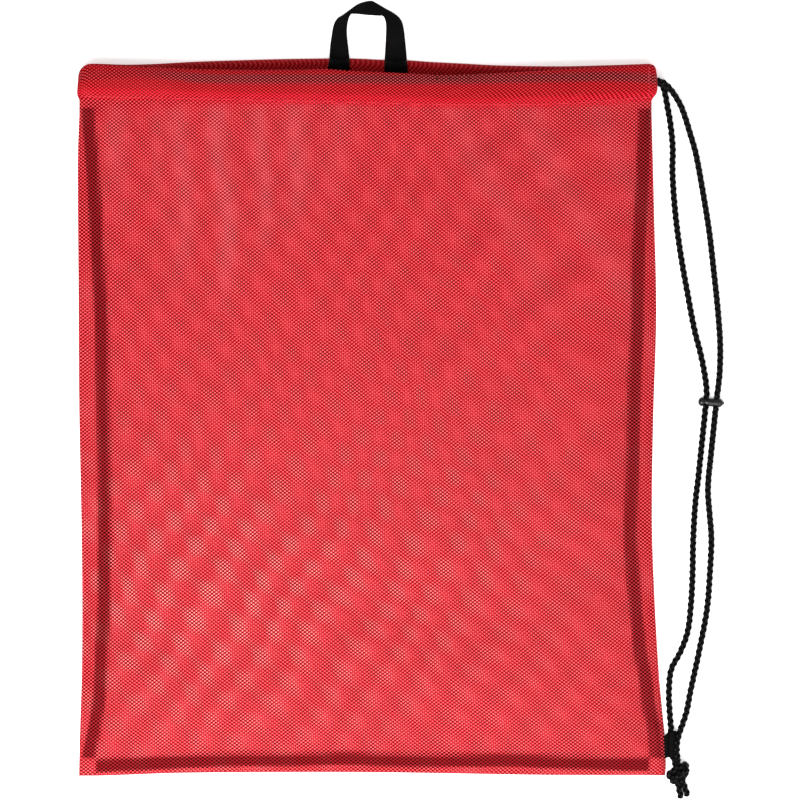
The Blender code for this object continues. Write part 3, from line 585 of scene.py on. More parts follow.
class Nodes:
    """A material's node tree, with short calls for its common nodes."""

    def __init__(self, name):
        self.material = bpy.data.materials.new(name)
        self.material.use_nodes = True
        self.tree = self.material.node_tree
        self.shader = self.tree.nodes["Principled BSDF"]

    def new(self, kind, **settings):
        node = self.tree.nodes.new(kind)
        for name, value in settings.items():
            setattr(node, name, value)
        return node

    def wire(self, source, target):
        if isinstance(source, tuple):
            target.default_value = (*source, 1.0)
        elif isinstance(source, (int, float)):
            target.default_value = source
        else:
            self.tree.links.new(source, target)

    def math(self, operation, *sources):
        node = self.new("ShaderNodeMath", operation=operation)
        for source, socket in zip(sources, node.inputs):
            self.wire(source, socket)
        return node.outputs[0]

    def times(self, first, second):
        return self.math("MULTIPLY", first, second)

    def plus(self, first, second):
        return self.math("ADD", first, second)

    def span(self, source, low, high, to_low=0.0, to_high=1.0):
        node = self.new("ShaderNodeMapRange", interpolation_type="SMOOTHSTEP")
        self.wire(source, node.inputs["Value"])
        for name, value in (("From Min", low), ("From Max", high), ("To Min", to_low), ("To Max", to_high)):
            node.inputs[name].default_value = value
        return node.outputs["Result"]

    def attribute(self, name="flat"):
        node = self.new("ShaderNodeAttribute", attribute_name=name)
        return node.outputs["Vector"]

    def parts(self, vector):
        node = self.new("ShaderNodeSeparateXYZ")
        self.wire(vector, node.inputs[0])
        return node.outputs

    def noise(self, scale, detail=2.0, roughness=0.5):
        """Noise over the object's own space."""
        node = self.new("ShaderNodeTexNoise")
        self.wire(self.new("ShaderNodeTexCoord").outputs["Object"], node.inputs["Vector"])
        for name, value in (("Scale", scale), ("Detail", detail), ("Roughness", roughness)):
            self.wire(value, node.inputs[name])
        return node.outputs["Fac"]

    def mix(self, share, first, second):
        node = self.new("ShaderNodeMix", data_type="RGBA")
        for name, source in (("Factor", share), ("A", first), ("B", second)):
            self.wire(source, node.inputs[name])
        return node.outputs["Result"]

    def bump(self, height, distance, strength):
        node = self.new("ShaderNodeBump")
        for name, source in (("Height", height), ("Distance", distance), ("Strength", strength)):
            self.wire(source, node.inputs[name])
        return node.outputs["Normal"]

    def finish(self, colour, roughness, normal=None, **constants):
        for name, source in (("Base Color", colour), ("Roughness", roughness), ("Normal", normal)):
            if source is not None:
                self.wire(source, self.shader.inputs[name])
        for name, value in constants.items():
            self.shader.inputs[name.replace("_", " ")].default_value = value
        return self.material


def scaled(colour, factor):
    return tuple(c * factor for c in colour)


def lattice(nodes, across, along):
    """1 on the knots of the mesh, -1 in the middle of its holes, from places on the flat cloth."""
    first = nodes.math("COSINE", nodes.times(across, 2 * math.pi / (PITCH_ACROSS * MM)))
    second = nodes.math("COSINE", nodes.times(along, 2 * math.pi / (PITCH_ALONG * MM)))
    return nodes.times(first, second)


def slipped(nodes):
    """How well the back sheet's lattice falls behind the front one's, from 0 to 1, where the front knots
    take painted light.
    """
    slip_across, slip_along, painted_light_area = nodes.parts(nodes.attribute("slip"))
    return nodes.times(nodes.span(lattice(nodes, slip_across, slip_along), -0.4, 1.0), painted_light_area)


def mesh_cloth(name, knot, strand, shade, hole):
    """Red knitted mesh with open holes: knots with a painted highlight, and strands with painted shade
    towards the holes.
    """
    nodes = Nodes(name)
    across, along, backing = nodes.parts(nodes.attribute())
    weave = lattice(nodes, across, along)
    patch = nodes.noise(14.0)
    fibre = nodes.noise(2600.0, 2.0, 0.7)
    ribs = nodes.math("SINE", nodes.times(across, 2 * math.pi / (0.46 * MM)))
    raised = nodes.span(nodes.plus(weave, nodes.times(fibre, 0.2)), 0.25, 0.85)
    # Above the hem's foot the cloth is double, and a dense band follows the row of stitches. The double hem
    # gets painted shade: weaker knots and darker strands.
    doubled = nodes.span(along, *(c * MM for c in DOUBLED))
    band_low, band_high = (c * MM for c in DENSE_BAND[:2]), (c * MM for c in DENSE_BAND[2:])
    dense = nodes.times(nodes.span(along, *band_low), nodes.span(along, *band_high, 1.0, 0.0))
    # Painted light: x is painted sheen on the folds, y the hem's painted band over the cord.
    pale, cord = nodes.parts(nodes.attribute("wear_and_painted_light"))[:2]
    # The knots' painted highlight, a fifth weaker on the hem.
    lit = nodes.times(raised, nodes.span(doubled, 0.0, 1.0, 1.0, 0.8))
    # Painted light: the knots turn paler where light from the floor would come through lined-up holes.
    painted_light_and_wear_tint = nodes.mix(slipped(nodes), knot, PAINTED_BACKLIGHT_KNOT)
    # Painted shade: the hem's knots dim towards the strand colour.
    painted_light_and_wear_tint = nodes.mix(nodes.times(doubled, 0.5), painted_light_and_wear_tint, strand)
    # Knots on the fold ridges and over the cord take the painted sheen colour.
    for share, strength in ((cord, 0.6), (pale, 0.6)):
        painted_light_and_wear_tint = nodes.mix(nodes.times(share, strength), painted_light_and_wear_tint, PAINTED_SHEEN)
    # Painted shade: the strands turn to the shade colour towards the holes.
    deep = nodes.mix(nodes.span(weave, -0.1, 0.3), shade, strand)
    # Painted shade on the double hem.
    deep = nodes.mix(nodes.times(doubled, 0.7), deep, shade)
    # Painted shade: the strands darken over the hem's cord, for the cord seen through and its shadow.
    deep = nodes.mix(nodes.times(cord, 0.85), deep, scaled(shade, 0.3))
    deep = nodes.mix(nodes.span(patch, 0.35, 0.75, 0.0, 0.2), deep, shade)
    colour = nodes.mix(lit, deep, painted_light_and_wear_tint)
    colour = nodes.mix(nodes.times(dense, 0.55), colour, DENSE_RED)
    # Painted sheen: the fold ridges turn paler as a whole.
    colour = nodes.mix(nodes.times(pale, 0.22), colour, PAINTED_SHEEN)
    # Painted shade: the yarns over the tapes are darkened.
    painted_tape_shade = nodes.times(backing, 0.8 / MM)
    colour = nodes.mix(painted_tape_shade, colour, scaled(strand, 0.22))
    rough = nodes.span(fibre, 0.3, 0.7, 0.5, 0.68)
    relief = nodes.plus(nodes.times(weave, 0.8), nodes.times(ribs, 0.1))
    cover = nodes.plus(weave, nodes.times(backing, 0.2 / MM))
    cover = nodes.plus(cover, nodes.times(doubled, 0.35))
    nodes.wire(nodes.span(cover, hole - 0.06, hole + 0.06), nodes.shader.inputs["Alpha"])
    return nodes.finish(colour, rough, nodes.bump(relief, 0.0003, 0.8), Specular_IOR_Level=0.04)


def webbing(name, tint, rib=1.25, pick=1.1):
    """Black woven webbing: lengthwise ribs crossed by staggered picks."""
    nodes = Nodes(name)
    across, along = nodes.parts(nodes.attribute())[:2]
    rows = nodes.math("SINE", nodes.times(across, math.pi / (rib * MM)))
    picks = nodes.math("SINE", nodes.times(along, math.pi / (pick * MM)))
    weave = nodes.times(rows, picks)
    fibre = nodes.noise(2200.0, 3.0, 0.7)
    wear_and_painted_light = nodes.noise(60.0, 3.0)
    relief = nodes.plus(nodes.math("ABSOLUTE", weave), nodes.times(fibre, 0.35))
    painted_light_and_wear_tint = nodes.mix(nodes.span(wear_and_painted_light, 0.4, 0.75), tint, scaled(tint, 4.0))
    # Painted shade: the weave's hollows are darker than its raised yarns; the lighter patches above are
    # wear.
    colour = nodes.mix(nodes.span(relief, 0.25, 1.2), scaled(tint, 0.45), painted_light_and_wear_tint)
    rough = nodes.span(fibre, 0.3, 0.7, 0.55, 0.8)
    return nodes.finish(colour, rough, nodes.bump(relief, 0.00025, 0.9), Specular_IOR_Level=0.07)


def braid(name, tint):
    """Black braided cord: filaments run along each yarn, with painted highlights on the filaments and yarn
    crowns and painted shade in the gaps between yarns.
    """
    nodes = Nodes(name)
    across, _, height = nodes.parts(nodes.attribute())
    filaments = nodes.math("SINE", nodes.times(across, 2 * math.pi * 5.0))
    fibre = nodes.noise(3000.0, 2.0, 0.7)
    relief = nodes.plus(filaments, nodes.times(fibre, 1.2))
    # Painted highlight along the filaments, and painted shade in the gaps between yarns below.
    painted_light_and_wear_tint = nodes.mix(nodes.span(relief, -0.2, 1.6), tint, scaled(tint, 7.0))
    colour = nodes.mix(nodes.span(height, 0.6, 1.0), scaled(tint, 0.1), painted_light_and_wear_tint)
    rough = nodes.span(fibre, 0.3, 0.7, 0.42, 0.62)
    return nodes.finish(colour, rough, nodes.bump(relief, 0.00006, 0.7), Specular_IOR_Level=0.05)


def moulded(name):
    """Black moulded nylon: satin, with faint flow marks."""
    nodes = Nodes(name)
    grain = nodes.noise(1800.0, 3.0)
    marks = nodes.noise(210.0)
    colour = nodes.mix(nodes.span(marks, 0.35, 0.7), (0.004, 0.004, 0.0045), (0.01, 0.0095, 0.0105))
    rough = nodes.span(marks, 0.3, 0.7, 0.24, 0.36)
    return nodes.finish(
        colour, rough, nodes.bump(grain, 0.00004, 0.35),
        Coat_Weight=0.1, Coat_Roughness=0.25, Specular_IOR_Level=0.4,
    )


def thread(name, light, dark):
    """Twisted sewing thread."""
    nodes = Nodes(name)
    across, along = nodes.parts(nodes.attribute())[:2]
    twist = nodes.plus(nodes.times(across, 9000.0), nodes.times(along, 7000.0))
    ply = nodes.math("SINE", twist)
    fuzz = nodes.noise(2500.0)
    # Painted shade in the grooves of the twist; its crowns take the lighter colour.
    colour = nodes.mix(nodes.span(nodes.plus(ply, fuzz), -0.6, 1.4), dark, light)
    rough = nodes.span(fuzz, 0.3, 0.7, 0.4, 0.6)
    return nodes.finish(colour, rough, nodes.bump(ply, 0.00005, 0.7), Sheen_Weight=0.2)


def floor_finish():
    """The pale plain floor, lit from within a little as a studio table is."""
    nodes = Nodes("floor_white")
    grain = nodes.noise(300.0)
    colour = nodes.mix(grain, (0.93, 0.93, 0.93), (0.95, 0.95, 0.95))
    rough = nodes.span(grain, 0.3, 0.7, 0.85, 0.95)
    return nodes.finish(
        colour, rough,
        Emission_Color=(1.0, 1.0, 1.0, 1.0), Emission_Strength=0.5, Specular_IOR_Level=0.1,
    )


# ---------------------------------------------------------------- cloth


def column_shares():
    """Shares of the bag's width, closer together at the two folded edges."""
    steps = [0.0, 0.35, 0.8, 1.4, 2.1, 3.0, 4.0, 5.2, 6.6, 8.2, 10.0, 12.5, 15.5]
    inner = np.linspace(19.0, PANEL_WIDTH - 19.0, 128)
    places = np.concatenate([steps, inner, PANEL_WIDTH - np.array(steps[::-1])])
    return places / PANEL_WIDTH


def panel_shares():
    """Shares of the panel's length, from the bottom fold to the foot of the hem."""
    steps = [0.0, 0.35, 0.8, 1.4, 2.1, 3.0, 4.0, 5.5, 7.5, 10.0, 13.0]
    length = 567.0
    middle = np.linspace(16.5, length - 34.0, 146)
    upper = np.linspace(length - 31.0, length, 17)
    return np.concatenate([steps, middle, upper]) / length


def cloth_places(shares, rise, foot_of_hem):
    """(x, y) of the panel's points."""
    nominal = PANEL_WIDTH * (shares - 0.5)
    low, high = value_on(BOTTOM_EDGE, nominal), value_on(foot_of_hem, nominal)
    y = low[None, :] + rise[:, None] * (high - low)[None, :]
    left, right = value_on(LEFT_EDGE, y), value_on(RIGHT_EDGE, y)
    return left + (right - left) * shares[None, :], y


def hem_places(shares, depths, foot_of_hem, top_edge, left_limit=None):
    """(x, y) of the hem's points, from its foot to its top edge."""
    x = PANEL_WIDTH * (shares - 0.5)[None, :] + 0 * depths[:, None]
    for _ in range(4):
        low, high = value_on(foot_of_hem, x), value_on(top_edge, x)
        y = low + depths[:, None] * (high - low)
        left, right = value_on(LEFT_EDGE, y), value_on(RIGHT_EDGE, y)
        if left_limit is not None:
            left = np.maximum(left, left_limit[:, None])
        x = left + (right - left) * shares[None, :]
    return x, y


def hem_depths(count):
    """Shares of the hem's depth, closer together at its two edges."""
    return 0.5 - 0.5 * np.cos(math.pi * np.arange(1, count + 1) / count)


def closed_at_left(x, y, z):
    """The hem's left end, where the front cloth turns round into the back one."""
    side = x - value_on(LEFT_EDGE, y)
    return HEM_END_Z + (z - HEM_END_Z) * roll(side / HEM_END_ROLL)


def cloth_flat(shares, lengths, turn=0.0, shift=0.0, warp=0.0, stretch=(1.0, 1.0)):
    """Each point's place on the flat cloth, which may be skewed and stretched a little."""
    v = lengths if lengths.ndim == 2 else lengths[:, None] + 0 * shares[None, :]
    u = PANEL_WIDTH * (shares - 0.5)[None, :] + 0 * v
    drift_u = waves(u, v, ((0.55, 131.0, 63.0, 0.4), (0.45, 88.0, 152.0, 1.2), (0.3, 213.0, 15.0, 2.0)))
    drift_v = waves(u, v, ((0.5, 117.0, 141.0, 1.9), (0.45, 96.0, 28.0, 0.1), (0.35, 240.0, 95.0, 0.8)))
    u2 = stretch[0] * (u * math.cos(turn) - v * math.sin(turn)) + shift + warp * drift_u
    v2 = stretch[1] * (u * math.sin(turn) + v * math.cos(turn)) + warp * drift_v
    return np.stack([u2, v2, 0 * u2], axis=2)


def over_tapes(x, y):
    """1 where the front panel lies over one of the dark tapes, which show through its yarns; there its
    colour takes painted shade.
    """
    shown = np.zeros_like(x)
    # Each edge's weight sets how strong its painted shade is.
    for (_, _, points, upright), weight in zip(CLOSED_EDGES, (1.0, 0.85, 1.1)):
        across, along = (x, y) if upright else (y, x)
        near = smooth((TAPE_WIDTH / 2 + 1.0 - np.abs(across - value_on(points, along))) / 3.0)
        beside = (along > points[0][0]) & (along < points[-1][0])
        shown = np.maximum(shown, weight * near * beside)
    return shown


def slip_between(cloth, shares, x, y):
    """How far the back sheet's cloth has slipped under each point of the front panel."""
    nominal = PANEL_WIDTH * (shares - 0.5)
    low, high = value_on(BOTTOM_EDGE, nominal), value_on(BACK_HEM_FOOT, nominal)
    lengths = PANEL_LOW + PANEL_LENGTH * (y - low[None, :]) / (high - low)[None, :]
    slip = np.zeros_like(cloth)
    slip[: len(y)] = cloth[: len(y)] - cloth_flat(shares, lengths, **BACK_SET)
    # The third part marks where that painted light may show: most at the lower left, less at the right,
    # none near the hem.
    left = np.exp(-(((x + 140.0) / 130.0) ** 2) - ((y + 150.0) / 110.0) ** 2)
    right = np.exp(-(((x - 60.0) / 110.0) ** 2) - ((y + 120.0) / 110.0) ** 2)
    pale = 0.1 + 0.9 * left + 0.35 * right
    slip[: len(y), :, 2] = pale * smooth((240.0 - y) / 60.0) / MM
    return slip


def painted_light_of(rows):
    """Painted light for the front sheet: for the panel how pale its folds are, as painted sheen on the
    ridges and a little more towards the bottom; for the hem where the cord darkens it, the cord and its
    shadow painted.
    """
    panel, face = rows[:2]
    x, y = panel[:, :, 0], panel[:, :, 1]
    pale = np.zeros((*np.concatenate(rows).shape[:2], 3))
    # Painted sheen on the fold ridges, and painted light growing towards the bottom.
    pale[: len(panel), :, 0] = np.minimum(1.0, soft_folds(x, y) + 0.12 * smooth((170.0 - y) / 240.0))
    x, y = face[:, :, 0], face[:, :, 1]
    # The hem's band over the cord: its dark and its shadow are painted, weaker at the left.
    near = smooth((5.4 - np.abs(y - 0.5 - value_on(CHANNEL_Y[1:], x))) / 2.6)
    pale[len(panel): len(panel) + len(face), :, 1] = near * (0.3 + 0.7 * smooth((x + 200.0) / 60.0))
    return pale


def cloth_rows(panel_height, hem_skins, foot_of_hem, top_edge, count):
    """A sheet's points and how far along the flat cloth each row lies: panel, hem face, turned-in side."""
    shares, rise = column_shares(), panel_shares()
    x, y = cloth_places(shares, rise, foot_of_hem)
    rows, lengths = [np.stack([x, y, panel_height(x, y)], axis=2)], [PANEL_LOW + PANEL_LENGTH * rise]
    depths = hem_depths(count)
    back = depths[::-1][1:]
    limit = INNER_LEFT - TURNED_IN * (1 - smooth(np.arange(len(back)) / 5.0))
    for part, along, left_limit, skin in (
        (depths, depths, None, hem_skins[0]), (back, 2 - back, limit, hem_skins[1]),
    ):
        x, y = hem_places(shares, part, foot_of_hem, top_edge, left_limit)
        rows.append(np.stack([x, y, closed_at_left(x, y, skin(x, part[:, None]))], axis=2))
        lengths.append(HEM_START + HEM_DEPTH * along)
    return shares, rows, np.concatenate(lengths)


def front_face(x, depths):
    """The hem's outer side, with the puckers that its stitches draw in the cloth."""
    pucker = 0.25 * np.sin(x / 1.55 + 2.2 * np.sin(x / 17.0)) * np.exp(-depths * 5.0)
    return front_hem_middle(x) + HEM_SKIN + HEM_HALF * hem_share(depths) + pucker


def front_turned_in(x, depths):
    return front_hem_middle(x) - HEM_SKIN - HEM_HALF * hem_share(depths)


def back_face(x, depths):
    return BACK_HEM_Z + 0.35 * smooth((depths - 0.9) / 0.1) + 0 * x


def back_turned_in(x, depths):
    return back_roof(depths) + 0 * x


def make_front_cloth(finish):
    """The front sheet: the panel, the face of its hem, and the hem's turned-in side."""
    shares, rows, lengths = cloth_rows(
        front_height, (front_face, front_turned_in), FRONT_HEM_FOOT, FRONT_HEM_TOP, 22
    )
    x, y = rows[0][:, :, 0], rows[0][:, :, 1]
    cloth = cloth_flat(shares, lengths, **FRONT_SET)
    cloth[: len(y), :, 2] = over_tapes(x, y)
    mesh = grid_mesh("front_cloth", np.concatenate(rows), cloth)
    # Two attributes: the slip, whose third part marks painted light, and the painted sheen and cord band.
    for layer, values in (("slip", slip_between(cloth, shares, x, y) * MM), ("wear_and_painted_light", painted_light_of(rows))):
        attribute = mesh.attributes.new(layer, "FLOAT_VECTOR", "POINT")
        attribute.data.foreach_set("vector", values.astype(np.float32).ravel())
    return piece(mesh, finish, "red_mesh", "bag", "front_panel", "front_hem", "hem_left_fold")


def make_back_cloth(finish):
    """The back sheet, flat on the floor, with its hem folded up and over the cord."""
    shares, rows, lengths = cloth_rows(
        back_height, (back_face, back_turned_in), BACK_HEM_FOOT, BACK_HEM_TOP, 20
    )
    mesh = grid_mesh("back_cloth", np.concatenate(rows), cloth_flat(shares, lengths, **BACK_SET))
    return piece(mesh, finish, "red_mesh", "bag", "back_panel", "back_hem")


def lying_inside(x, y, share):
    """A height between the two cloths."""
    low, high = back_height(x, y) + 0.5, front_height(x, y) - 0.6
    return blend(low, np.maximum(high, low + 0.3), share)


def inside_grid(main, offset, upright):
    """(x, y) of a strip's points: main runs along the edge, and offset across it."""
    main = np.repeat(main[:, None], offset.shape[1], axis=1)
    return (offset, main) if upright else (main, offset)


def make_tapes(finish):
    """The folded tapes that bind the seam allowances inside the three closed edges."""
    across = np.linspace(-TAPE_WIDTH / 2, TAPE_WIDTH / 2, 13)
    for side, _, points, upright in CLOSED_EDGES:
        at = np.linspace(points[0][0], points[-1][0], 190)
        middle = value_on(points, at) + 0.35 * np.sin(at / 9.0) + 0.25 * np.sin(at / 4.1 + 1.0)
        width = across[None, :] * (1 + 0.05 * np.sin(at / 23.0))[:, None]
        x, y = inside_grid(at, middle[:, None] + width, upright)
        ripple = 0.2 * np.sin(at[:, None] / 7.0 + width / 3.0)
        grid = np.stack([x, y, lying_inside(x, y, 0.55) + ripple], axis=2)
        if upright:
            grid = grid[:, ::-1]
        mesh = shell(f"{side}_tape", grid, at, across, TAPE_HALF, rim=0.9)
        piece(mesh, finish, "binding_tape", "bag", f"{side}_binding")


def make_allowances(finish):
    """The seam allowances between the folded edges and the tapes: two layers of the same mesh."""
    pieces = []
    for side, edge, points, upright in CLOSED_EDGES:
        at = np.linspace(points[0][0], points[-1][0], 150)
        outer, inner = value_on(edge, at), value_on(points, at)
        way = np.sign(inner - outer)
        start, end = outer + way * 1.6, inner - way * (TAPE_WIDTH / 2 - 1.2)
        share = np.linspace(0.0, 1.0, 9)
        x, y = inside_grid(at, start[:, None] + (end - start)[:, None] * share[None, :], upright)
        name = f"{side}_allowance"
        layers = []
        for level, shift in ((0.15, 0.7), (0.35, 2.1)):
            flat = np.stack([x + shift, y + 0.03 * x, 0 * x], axis=2)
            layers.append(grid_mesh(name, np.stack([x, y, lying_inside(x, y, level)], axis=2), flat))
        pieces.append(piece(joined(name, layers), finish, "red_mesh", "bag"))
    return pieces


# ---------------------------------------------------------------- stitches


def stitch_mesh(name, starts, ends, width=0.55, height=0.3):
    """Short raised stitches, each a spindle from one point to another."""
    t = np.linspace(0.0, 1.0, 7)[:, None, None]
    turn = (np.arange(8) / 8)[None, :, None]
    full = np.sqrt(np.maximum(0.03, 1 - (2 * t - 1) ** 2))
    meshes = []
    for a, b in zip(np.array(starts, float), np.array(ends, float)):
        length = np.linalg.norm(b - a)
        ahead = (b - a) / length
        side = np.cross(ahead, (0.0, 0.0, 1.0))
        side /= np.linalg.norm(side)
        up = np.cross(side, ahead)
        middle = a + (b - a) * t + up * 0.6 * height * np.sin(math.pi * t)
        spoke = side * np.cos(2 * math.pi * turn) * width / 2 + up * np.sin(2 * math.pi * turn) * height
        cloth = np.concatenate(np.broadcast_arrays(3 * width * turn, length * t, 0 * t), axis=2)
        meshes.append(grid_mesh(name, middle + spoke * full, cloth, around=True, capped=True))
    return joined(name, meshes)


def row_of_stitches(line, length=2.3, gap=0.75):
    """Starts and ends of stitches along a line of points."""
    points, at = evenly([Vector(p) for p in line], 0.25)
    count = int(at[-1] / (length + gap))
    starts, ends = [], []
    for k in range(count):
        low = (k + 0.5) * at[-1] / count - length / 2
        for place, ends_list in ((low, starts), (low + length, ends)):
            ends_list.append([np.interp(place, at, points[:, m]) for m in range(3)])
    return starts, ends


def make_hem_stitches(finish):
    """The rows of stitches that hold the two hems, and the bars at their open right ends."""
    x = np.linspace(-241.5, 240.5, 240)
    depth = np.linspace(0.06, 0.94, 30)
    front_y, back_y = value_on(FRONT_HEM_FOOT, x) + 0.9, value_on(BACK_HEM_FOOT, x) + 0.9
    front_z = closed_at_left(x, front_y, front_hem_middle(x) + HEM_SKIN + 0.12)
    back_z = back_roof(0.03 + 0 * x) + 0.12
    front_bar = front_hem_middle(BAR_X) + HEM_SKIN + HEM_HALF * hem_share(depth) + 0.1
    made = []
    for side, foot, top, y, z, bar_z in (
        ("front", FRONT_HEM_FOOT, FRONT_HEM_TOP, front_y, front_z, front_bar),
        ("back", BACK_HEM_FOOT, BACK_HEM_TOP, back_y, back_z, back_roof(depth) + 0.1),
    ):
        starts, ends = row_of_stitches(np.stack([x, y, z], axis=1))
        low, high = value_on(foot, BAR_X), value_on(top, BAR_X)
        bar = np.stack([BAR_X + 0 * depth, low + (high - low) * depth, bar_z], axis=1)
        more_starts, more_ends = row_of_stitches(bar)
        mesh = stitch_mesh(f"{side}_stitches", starts + more_starts, ends + more_ends)
        made.append(piece(mesh, finish, "red_thread", "bag", f"{side}_hem_thread"))
    return made


# ---------------------------------------------------------------- webbing


def handle_roof(y, x):
    """Height of the handle's sewn end, on the back hem's upper skin."""
    low, high = value_on(BACK_HEM_FOOT, x), value_on(BACK_HEM_TOP, x)
    return back_roof(np.clip((y - low) / (high - low), 0.0, 1.0)) + WEBBING / 2 + 0.25


def sewn_stations(outer_x, inner_x, spread):
    """Pairs of points across the strip's sewn end, which is spread a little towards its tip."""
    stations = []
    for k in range(8):
        y = HANDLE_LOW + (HANDLE_TOP - HANDLE_LOW) * k / 7.2
        wide = spread * smooth((308.0 - y) / 14.0)
        stations.append(((outer_x + wide, y), (inner_x - 0.2 * wide, y)))
    return stations


def strip_edges(stations, spacing):
    """The strip's two edge lines, sampled together at even steps of their middle line."""
    pairs = np.array([(*outer, *inner) for outer, inner in stations])
    pairs = np.concatenate([pairs, (pairs[:, :2] + pairs[:, 2:]) / 2], axis=1)
    count = np.arange(len(pairs))
    fine = np.linspace(0, len(pairs) - 1, (len(pairs) - 1) * 12 + 1)
    lines = np.stack([value_on(list(zip(count, values)), fine) for values in pairs.T], axis=1)
    run = np.concatenate([[0.0], np.cumsum(np.linalg.norm(np.diff(lines[:, 4:], axis=0), axis=1))])
    at = np.linspace(0, run[-1], round(run[-1] / spacing) + 1)
    lines = np.stack([np.interp(at, run, values) for values in lines.T], axis=1)
    return lines[:, :2], lines[:, 2:4], at


def make_handle(finish):
    """The handle: one strip of webbing, sewn inside the back hem and folded at its two corners."""
    ends = []
    for (outer, inner), spread in ((HANDLE_PATH[0], -1.3), (HANDLE_PATH[-1], 1.0)):
        ends.append(sewn_stations(outer[0], inner[0], spread))
    out_line, in_line, at = strip_edges([*ends[0], *HANDLE_PATH[1:-1], *ends[1][::-1]], 1.2)
    across = np.linspace(0.0, HANDLE_WIDTH, 17)
    share = (across / HANDLE_WIDTH)[None, :, None]
    flat = out_line[:, None, :] * (1 - share) + in_line[:, None, :] * share
    x, y = flat[:, :, 0], flat[:, :, 1]
    tip = max(outer[1] for outer, _ in HANDLE_PATH)
    out = np.clip((y - HANDLE_HINGE.y) / (tip - HANDLE_HINGE.y), 0, 1)
    loop = blend(HANDLE_HINGE.z, HANDLE_TIP_Z, out)
    z = blend(handle_roof(y, x), loop, smooth((y - 302.5) / 6.0))
    from_middle = np.abs(2 * share[:, :, 0] - 1) ** 2
    corner = smooth((y - 330.0) / 10.0)
    z = z + corner * 0.45 * np.sin(at / 6.5)[:, None] * (1 - from_middle)
    z = z + 0.35 * from_middle * (1 - corner) * smooth((y - 308.0) / 8.0)
    mesh = shell("handle_webbing", np.stack([x, y, z], axis=2), at, across, WEBBING / 2, rim=0.9)
    nodes = ("handle_loop", "handle_left_end", "handle_right_end")
    obj = piece(mesh, finish, "black_webbing", None, *nodes)
    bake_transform(obj)


def make_bartacks(finish):
    """Dense bars of thread that hold the handle's two ends."""
    for side, (outer, inner) in (("left", HANDLE_PATH[0]), ("right", HANDLE_PATH[-1])):
        centre = (outer[0] + inner[0]) / 2
        starts, ends = [], []
        for k in range(17):
            x = centre - 6.0 + 12.0 * k / 16
            z = float(handle_roof(np.array(BARTACK_Y), np.array(x))) + WEBBING / 2 + 0.12
            lean = 0.25 if k % 2 else -0.25
            starts.append((x - lean, BARTACK_Y - 1.1, z))
            ends.append((x + lean, BARTACK_Y + 1.1, z))
        mesh = stitch_mesh(f"handle_{side}_bartack_thread", starts, ends, width=0.8)
        piece(mesh, finish, "black_webbing", "bag", f"handle_{side}_bartack")


def tab_line():
    """The middle of the tab's webbing in the XZ plane: out of the seam, round the fold and back."""
    low, high = TAB_HINGE.z - TAB_SPLIT, TAB_HINGE.z + TAB_SPLIT
    line = [(TAB_ROOT, 0.0, low - 0.1)]
    line += [(x, 0.0, low) for x in (TAB_SEAM, TAB_START, TAB_OPENS)]
    line.append((256.0, 0.0, 1.4))
    for k in range(9):
        angle = math.pi * (k / 8 - 0.5)
        line.append(TAB_FOLD + TAB_RADIUS * Vector((math.cos(angle), 0, math.sin(angle))))
    line.append((255.9, 0.0, 6.8))
    line += [(x, 0.0, high) for x in (TAB_OPENS, TAB_START, TAB_SEAM)]
    line.append((TAB_ROOT, 0.0, high + 0.1))
    return line


def make_tab(finish):
    """The side tab: a strip of webbing folded round the cord's foot, its ends inside the seam."""
    line, at = evenly(smooth_route(tab_line(), 10), 0.5)
    across = np.linspace(0.0, TAB_HIGH - TAB_LOW, 23)
    share = across / across[-1]
    x = np.repeat(line[:, :1], len(across), axis=1)
    z = np.repeat(line[:, 2:], len(across), axis=1)
    high_edge = TAB_HIGH - 4.4 * (1 - smooth((x - 250.0) / 7.0))
    low_edge = TAB_LOW + 1.2 * smooth((x - 250.0) / 8.0) - 0.8
    y = low_edge + (high_edge - low_edge) * share[None, :]
    z = z + 0.18 * smooth((x - TAB_START) / 5.0) * np.sin(y / 3.1)
    grid = np.stack([x, y, z], axis=2)
    mesh = shell("side_tab_webbing", grid, at, across, TAB_STRIP / 2, rim=0.7)
    obj = piece(mesh, finish, "black_webbing", None, "side_tab", "side_tab_end")
    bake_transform(obj)


# ---------------------------------------------------------------- cord, knot and lock


def split_at(line, y):
    """The line's points above and below a height in Y, measured down a route."""
    cut = next(i for i, p in enumerate(line) if p.y < y)
    return line[: cut + 1], line[cut:]


def length_of(line):
    return sum((q - p).length for p, q in zip(line, line[1:]))


def make_strands(finish):
    """The two free strands, each split into an upper length that rides on the bag and a lower length that
    is not attached to it.
    """
    strands = {}
    for side, route in (("left", LEFT_ROUTE), ("right", RIGHT_ROUTE)):
        upper, lower = split_at(smooth_route(route), STRAND_SPLIT_Y)
        for part, line, start in (("upper", upper, 0.0), ("lower", lower, length_of(upper))):
            mesh = cord_mesh(f"strand_{side}_{part}", line, start)
            body = "bag" if part == "upper" else None
            obj = piece(mesh, finish, "black_braid", body, f"cord_{side}_{part}")
            if part == "lower":
                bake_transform(obj)
            strands[side, part] = (obj, line)
    return strands


